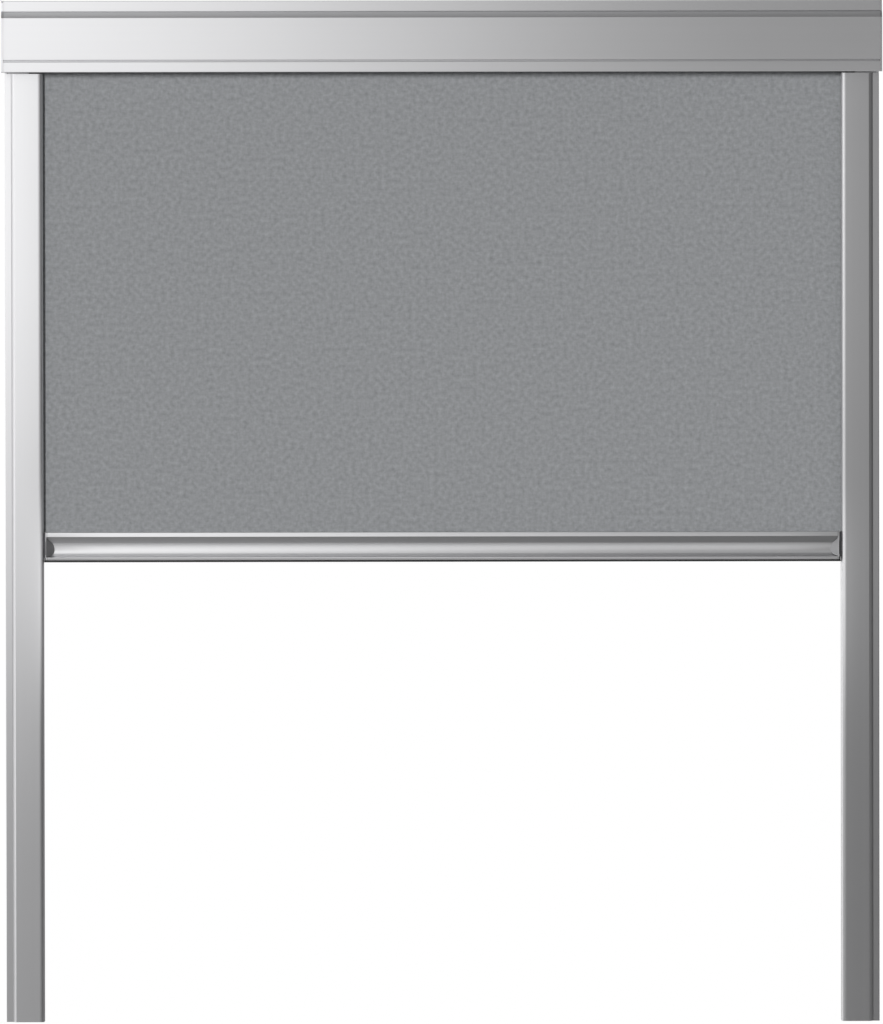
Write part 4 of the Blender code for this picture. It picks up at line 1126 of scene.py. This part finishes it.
def moulded_copy(name, node, material, bevel, reshape):
    """A copy of a CAD node with merged faces, a changed shape and rounded edges."""
    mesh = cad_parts[node].data.copy()
    mesh.name = name
    with editing(mesh) as work:
        bmesh.ops.remove_doubles(work, verts=work.verts, dist=0.002 * MM)
        bmesh.ops.dissolve_limit(
            work, angle_limit=math.radians(2), verts=work.verts, edges=work.edges
        )
    mesh.materials.clear()
    mesh.materials.append(material)
    smooth(mesh)
    if reshape:
        points = np.empty(len(mesh.vertices) * 3)
        mesh.vertices.foreach_get("co", points)
        points = reshape(points.reshape(-1, 3) / MM) * MM
        mesh.vertices.foreach_set("co", points.ravel())
        mesh.update()
    made = add_object(name, mesh)
    edge = made.modifiers.new("rounded_edges", "BEVEL")
    edge.width = bevel * MM
    edge.segments = 3
    edge.limit_method = "ANGLE"
    edge.angle_limit = math.radians(40)
    edge.harden_normals = True
    return made


def widen_cheek(points):
    """Stretch what lies inside the bar's end f: |x|' = f - (f - |x|) k."""
    reach = np.abs(points[:, 0])
    stretch = (CHEEK_WIDTH - (reach.max() - BAR_END)) / (BAR_END - reach.min())
    wider = np.where(reach < BAR_END, BAR_END - (BAR_END - reach) * stretch, reach)
    return np.column_stack((np.sign(points[:, 0]) * wider, points[:, 1:]))


def stretch_flange(points):
    """Move what lies within the rim of the glide's top and of its foot up."""
    height = points[:, 2]
    top, foot = height > height.max() - FLANGE_RIM, height < height.min() + FLANGE_RIM
    moved = height + FLANGE_UP * top + FLANGE_FOOT_UP * foot
    return np.column_stack((points[:, :2], moved))


SILVER, DARK = "silver_plastic", "dark_plastic"
MOULDED = (
    ("head_cap_", "end_cap_", SILVER, silver_plastic, "frame", 0.1, None),
    # The trims' darker silver is painted shade for their cheeks.
    ("bar_trim_", "bar_cap_", SILVER, trim_plastic_painted_shade, "bar", 0.06, widen_cheek),
    ("rail_foot_plug_", "rail_plug_", DARK, dark_plastic, "frame", 0.3, None),
    ("bar_glide_", "glide_", DARK, dark_plastic, "bar", 0.2, stretch_flange),
)
for start, node, slot, material, body, bevel, reshape in MOULDED:
    for side, _ in SIDES:
        piece = moulded_copy(start + side, node + side, material, bevel, reshape)
        if node == "end_cap_":  # whose bevels leave slivers
            with editing(keep_modifiers(piece)) as work:
                bmesh.ops.remove_doubles(work, verts=work.verts, dist=0.004 * MM)
        dress(piece, body, slot, node + side)

# %% [markdown]
# ## Screws
#
# The end caps are held by countersunk screws with a cross recess. The head is a
# disc whose depth follows the arms of the cross, and the shank carries a coarse
# thread: its radius rises and falls along a spiral.

# %% End cap screws
SCREW_HEAD, SCREW_CONE, SCREW_LENGTH = 2.4, 1.2, 12.0
CORE, THREAD, TIP = 0.98, 0.2, 2.0
CROSS_HALF, CROSS_SLOPE, CROSS_REACH, CROSS_DEPTH = 0.28, 0.16, 1.45, 1.3


def cross_recess(u, v):
    """Depth of the recess: two crossing arms with sloping sides, deepest inside."""
    arms = [
        np.clip((CROSS_HALF + CROSS_SLOPE - np.abs(w)) / CROSS_SLOPE, 0, 1)
        for w in (u, v)
    ]
    fall = np.clip(1 - np.hypot(u, v) / CROSS_REACH, 0, 1) ** 0.6
    return CROSS_DEPTH * np.maximum(*arms) * fall


def screw_surface(rings=26, shank_rings=150, spokes=72, turns=11):
    """Rings of (radius, depth) about the axis: the face, the cone, the thread."""
    turn = np.arange(spokes) * 2 * math.pi / spokes
    face = np.linspace(0.02, 1.0, rings)[:, None] * SCREW_HEAD
    sunk = cross_recess(face * np.cos(turn), face * np.sin(turn))
    down = np.linspace(SCREW_CONE, SCREW_LENGTH, shank_rings)[:, None]
    phase = down / SCREW_LENGTH * turns * 2 * math.pi - turn
    taper = np.clip((SCREW_LENGTH - down) / TIP, 0.12, 1.0)
    thread = (CORE + THREAD * np.maximum(np.cos(phase), -0.2)) * taper
    radius = np.vstack((face + 0 * turn, thread))
    return radius, np.vstack((sunk, down + 0 * turn)), turn


def screw(name, place, sign):
    """A screw whose head lies at a place and whose shank points inwards along X."""
    radius, depth, turn = screw_surface()
    points = np.stack((
        place[0] - sign * depth,
        place[1] + radius * np.cos(turn),
        place[2] + radius * np.sin(turn),
    ), -1)
    rings, spokes = radius.shape
    faces = ring_quads(rings, spokes)
    faces.append(list(range(spokes))[::-1])
    faces.append(list(range((rings - 1) * spokes, rings * spokes)))
    return mesh_piece(name, points.reshape(-1, 3), faces, zinc_steel, 40)


screw_face = box_mm("end_cap_screw_right_top")[0][1]
for side, sign in SIDES:
    for where, (y, z) in (("top", PORT_TOP), ("rear", PORT_REAR)):
        tag = "%s_%s" % (side, where)
        piece = screw("cap_screw_" + tag, (sign * screw_face, y, z), sign)
        dress(piece, "frame", "zinc_steel", "end_cap_screw_" + tag)

# %% [markdown]
# ## The seal under the bar
#
# A black rubber strip is keyed into the bar and closes the gap at the window's
# foot. It is an extrusion with two soft lips and a hollow between them.

# %% Bottom seal
SEAL_TOP = -BAR_HEIGHT - FIT
SEAL_FOOT = SEAL_TOP - 1.0
SEAL_END = RAIL_IN - 0.4
SOLE_END, HOLLOW_START, HOLLOW_RISE = 4.2, 4.8, 0.45
KEY_TONGUE = ((0.9, -FIT, 0.0), (0.9, 1.0, 0.0), (1.9, 1.0, 0.0), (1.9, 1.8, 0.2))
seal_section = rounded([
    (BAR_FACE + LIP_LEAN, SEAL_TOP, 0.1),
    (BAR_FACE + LIP_LEAN, SEAL_FOOT, 0.4),
    (BAR_FACE + SOLE_END, SEAL_FOOT, 0.4),
    (BAR_FACE + HOLLOW_START, SEAL_FOOT + HOLLOW_RISE, 0.3),
    (BAR_BACK - HOLLOW_START, SEAL_FOOT + HOLLOW_RISE, 0.3),
    (BAR_BACK - SOLE_END, SEAL_FOOT, 0.4),
    (BAR_BACK - FIT, SEAL_FOOT, 0.4),
    (BAR_BACK - FIT, SEAL_TOP, 0.1),
    *key_corners(KEY_TONGUE, 1),
]) + (0.0, BAR_TOP)
seal_ends = (-SEAL_END, SEAL_END)
seal = extruded("bar_bottom_seal", seal_section, seal_ends, "X", black_rubber)
dress(seal, "bar", "black_rubber", "bottom_seal")

# %% [markdown]
# ## The cloth
#
# The cloth comes off the back of its roll, falls straight to the pull bar, goes
# round the hem rod inside the bar and back to itself. It is a surface carried along
# that path, with its thickness, so its edges show in the rails.

# %% Drawn cloth
ROLLER_Z = 2.0
ROLL_RADIUS = 11.124
ROLLER_Y = CLOTH_PLANE - CLOTH_THICKNESS / 2 - FIT - ROLL_RADIUS
TAB_EDGE = BAR_END - FIT
WIDE_FOOT = BAR_TOP + 0.1
HEM_ROD, HEM_SLACK = 1.2, 0.02
LOOP_START, LOOP_END = 62, -255
LOOP_LEAD = 0.4


def sheet_along(path, edge, columns, thickness=CLOTH_THICKNESS):
    """A thin sheet carried along a path in (y, z), from -edge to edge along X.

    Its faces lie half the thickness from the path, along the path's normals.
    """
    across = np.linspace(-edge, edge, columns)
    grids = []
    for half in (thickness / 2, -thickness / 2):
        line = beside(path, half)
        x, row = np.meshgrid(across, np.arange(len(line)))
        grids.append(np.dstack((x, line[row, 0], line[row, 1])))
    return joined_grids(*grids)


drop_path = [(CLOTH_PLANE, z) for z in (ROLLER_Z, (ROLLER_Z + BAR_TOP) / 2, WIDE_FOOT)]
hem_bend = HEM_ROD + CLOTH_THICKNESS / 2 + HEM_SLACK
hem_loop = arc(HEM_CENTRE, hem_bend, LOOP_START, LOOP_END, 31) + (0.0, BAR_TOP)
tab_lead = [(CLOTH_PLANE, WIDE_FOOT), (CLOTH_PLANE, BAR_TOP - LOOP_LEAD)]
tab_path = np.vstack((tab_lead, hem_loop))
drop = mesh_piece("drawn_cloth", *sheet_along(drop_path, CLOTH_EDGE, 25), cloth_flat)
hem = mesh_piece("hem_pocket", *sheet_along(tab_path, TAB_EDGE, 25), cloth_flat)

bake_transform(drop)
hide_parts("cloth_sheet")
dress(hem, "bar", "grey_cloth")
drop_flat = (2 * CLOTH_EDGE * MM, (ROLLER_Z - WIDE_FOOT) * MM)
hem_flat = (2 * TAB_EDGE * MM, path_length(tab_path) * MM)
print("drawn cloth %.4f m, hem pocket %.4f m" % (drop_flat[1], hem_flat[1]))

# %% [markdown]
# ## The cloth on the roll
#
# What isn't drawn down is wound on the tube. It is one ribbon on a spiral: the
# radius grows by one thickness with each turn, so the layers lie on each other.

# %% Wound cloth
CORE_RADIUS = 8.8
LAYER_GAP = 0.02
WOUND_COLUMNS = 7


def wound_path(steps=56):
    """The middle line of the wound cloth: radius core + thickness * turns."""
    inner = CORE_RADIUS + CLOTH_THICKNESS / 2
    outer = ROLL_RADIUS - CLOTH_THICKNESS / 2
    turns = (outer - inner) / CLOTH_THICKNESS
    t = np.linspace(0.0, turns, int(steps * turns) + 1)
    radius = inner + CLOTH_THICKNESS * t
    angle = 2 * math.pi * (t - turns)
    return np.column_stack((
        ROLLER_Y + radius * np.cos(angle), ROLLER_Z + radius * np.sin(angle)
    )), turns


spiral, turns = wound_path()
layers = sheet_along(spiral, CLOTH_EDGE, WOUND_COLUMNS, CLOTH_THICKNESS - LAYER_GAP)
wound = mesh_piece("wound_cloth", *layers, cloth_wound)
lengths = np.cumsum(np.linalg.norm(np.diff(spiral, axis=0, prepend=spiral[:1]), axis=1))
across = np.linspace(-CLOTH_EDGE, CLOTH_EDGE, WOUND_COLUMNS)
laid = np.tile(np.dstack(np.meshgrid(across, lengths)).reshape(-1, 2), (2, 1)) * MM
uv = wound.data.uv_layers.new(name="cloth")
corner = np.zeros(len(wound.data.loops), np.int32)
wound.data.loops.foreach_get("vertex_index", corner)
uv.data.foreach_set("uv", laid[corner].astype(np.float32).ravel())
dress(wound, "roller", "grey_cloth", "cloth_roll")
wound_flat = (2 * CLOTH_EDGE * MM, path_length(spiral) * MM)
print("wound cloth: %.1f turns, %.4f m" % (turns, wound_flat[1]))

# %% [markdown]
# ## Felt
#
# A strip of felt behind the cloth's edge stops the light, and felt shoes brake the
# bar. Felt has no sharp edge: its face is uneven by a tenth of a millimetre, which
# a smooth noise gives, the same at each run.


# %% Felt pieces
FELT_WAVES, FELT_PEAK = (0.9, 1.7, 2.9, 4.3), 2.3
RIM_SHARE = 0.35


def felt_noise(u, v, seed):
    """A sum of sines with unlike directions and fixed random phases, from -1 to 1."""
    rng = np.random.default_rng(seed)
    total = np.zeros(np.broadcast(u, v).shape)
    for rate in FELT_WAVES:
        angle, phase = rng.uniform(0, 2 * math.pi, 2)
        wave = (u * math.cos(angle) + v * math.sin(angle)) * rate + phase
        total += np.sin(wave) / rate
    return total / FELT_PEAK


def felt_block(name, node, swell, seed, columns, rows):
    """A felt block inside a node's box, its front and back grids uneven and domed."""
    ranges = box_mm(node)
    middle, half = ranges.mean(1), (ranges[:, 1] - ranges[:, 0]) / 2
    s, t = np.meshgrid(np.linspace(-1, 1, columns), np.linspace(-1, 1, rows))
    dome = np.clip((1 - s ** 8) * (1 - t ** 8), 0, 1) ** 0.25
    x, z = middle[0] + half[0] * s, middle[2] + half[2] * t
    rough = swell * (felt_noise(x, z, seed) - 1) / 2
    reach = (half[1] + rough) * (RIM_SHARE + (1 - RIM_SHARE) * dome)
    grids = [np.dstack((x, middle[1] + way * reach, z)) for way in (-1, 1)]
    return mesh_piece(name, *joined_grids(*grids), black_felt, 80)


FELT = (
    ("felt_seal_", "light_seal_", "frame", 0.12, 0, 11, 1100),
    ("felt_shoe_", "brake_shoe_", "bar", 0.15, 7, 24, 36),
)
for number, (side, _) in enumerate(SIDES):
    for start, node, body, swell, seed, columns, rows in FELT:
        piece = felt_block(
            start + side, node + side, swell, seed + number, columns, rows
        )
        dress(piece, body, "black_felt", node + side)

# %% [markdown]
# ## The works that stay
#
# The roller, its plugs, the spring unit and the brake springs keep their CAD
# solids, because their shapes are right. They get their finishes here.

# %% Finishes of the CAD nodes
KEPT = {
    mill_aluminium: ("roller_tube",),
    nylon: (
        "cloth_lock_strip",
        "spring_crown",
        "spring_driver",
        "spring_collar",
        "idle_plug",
        "bearing_bush",
    ),
    zinc_steel: ("spring_shaft", "idle_pin", "hem_rod"),
    spring_steel: ("torsion_spring", "brake_spring_left", "brake_spring_right"),
}
for material, names in KEPT.items():
    for name in names:
        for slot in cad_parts[name].material_slots:
            slot.material = material
        print("%-22s %s" % (name, material.name))
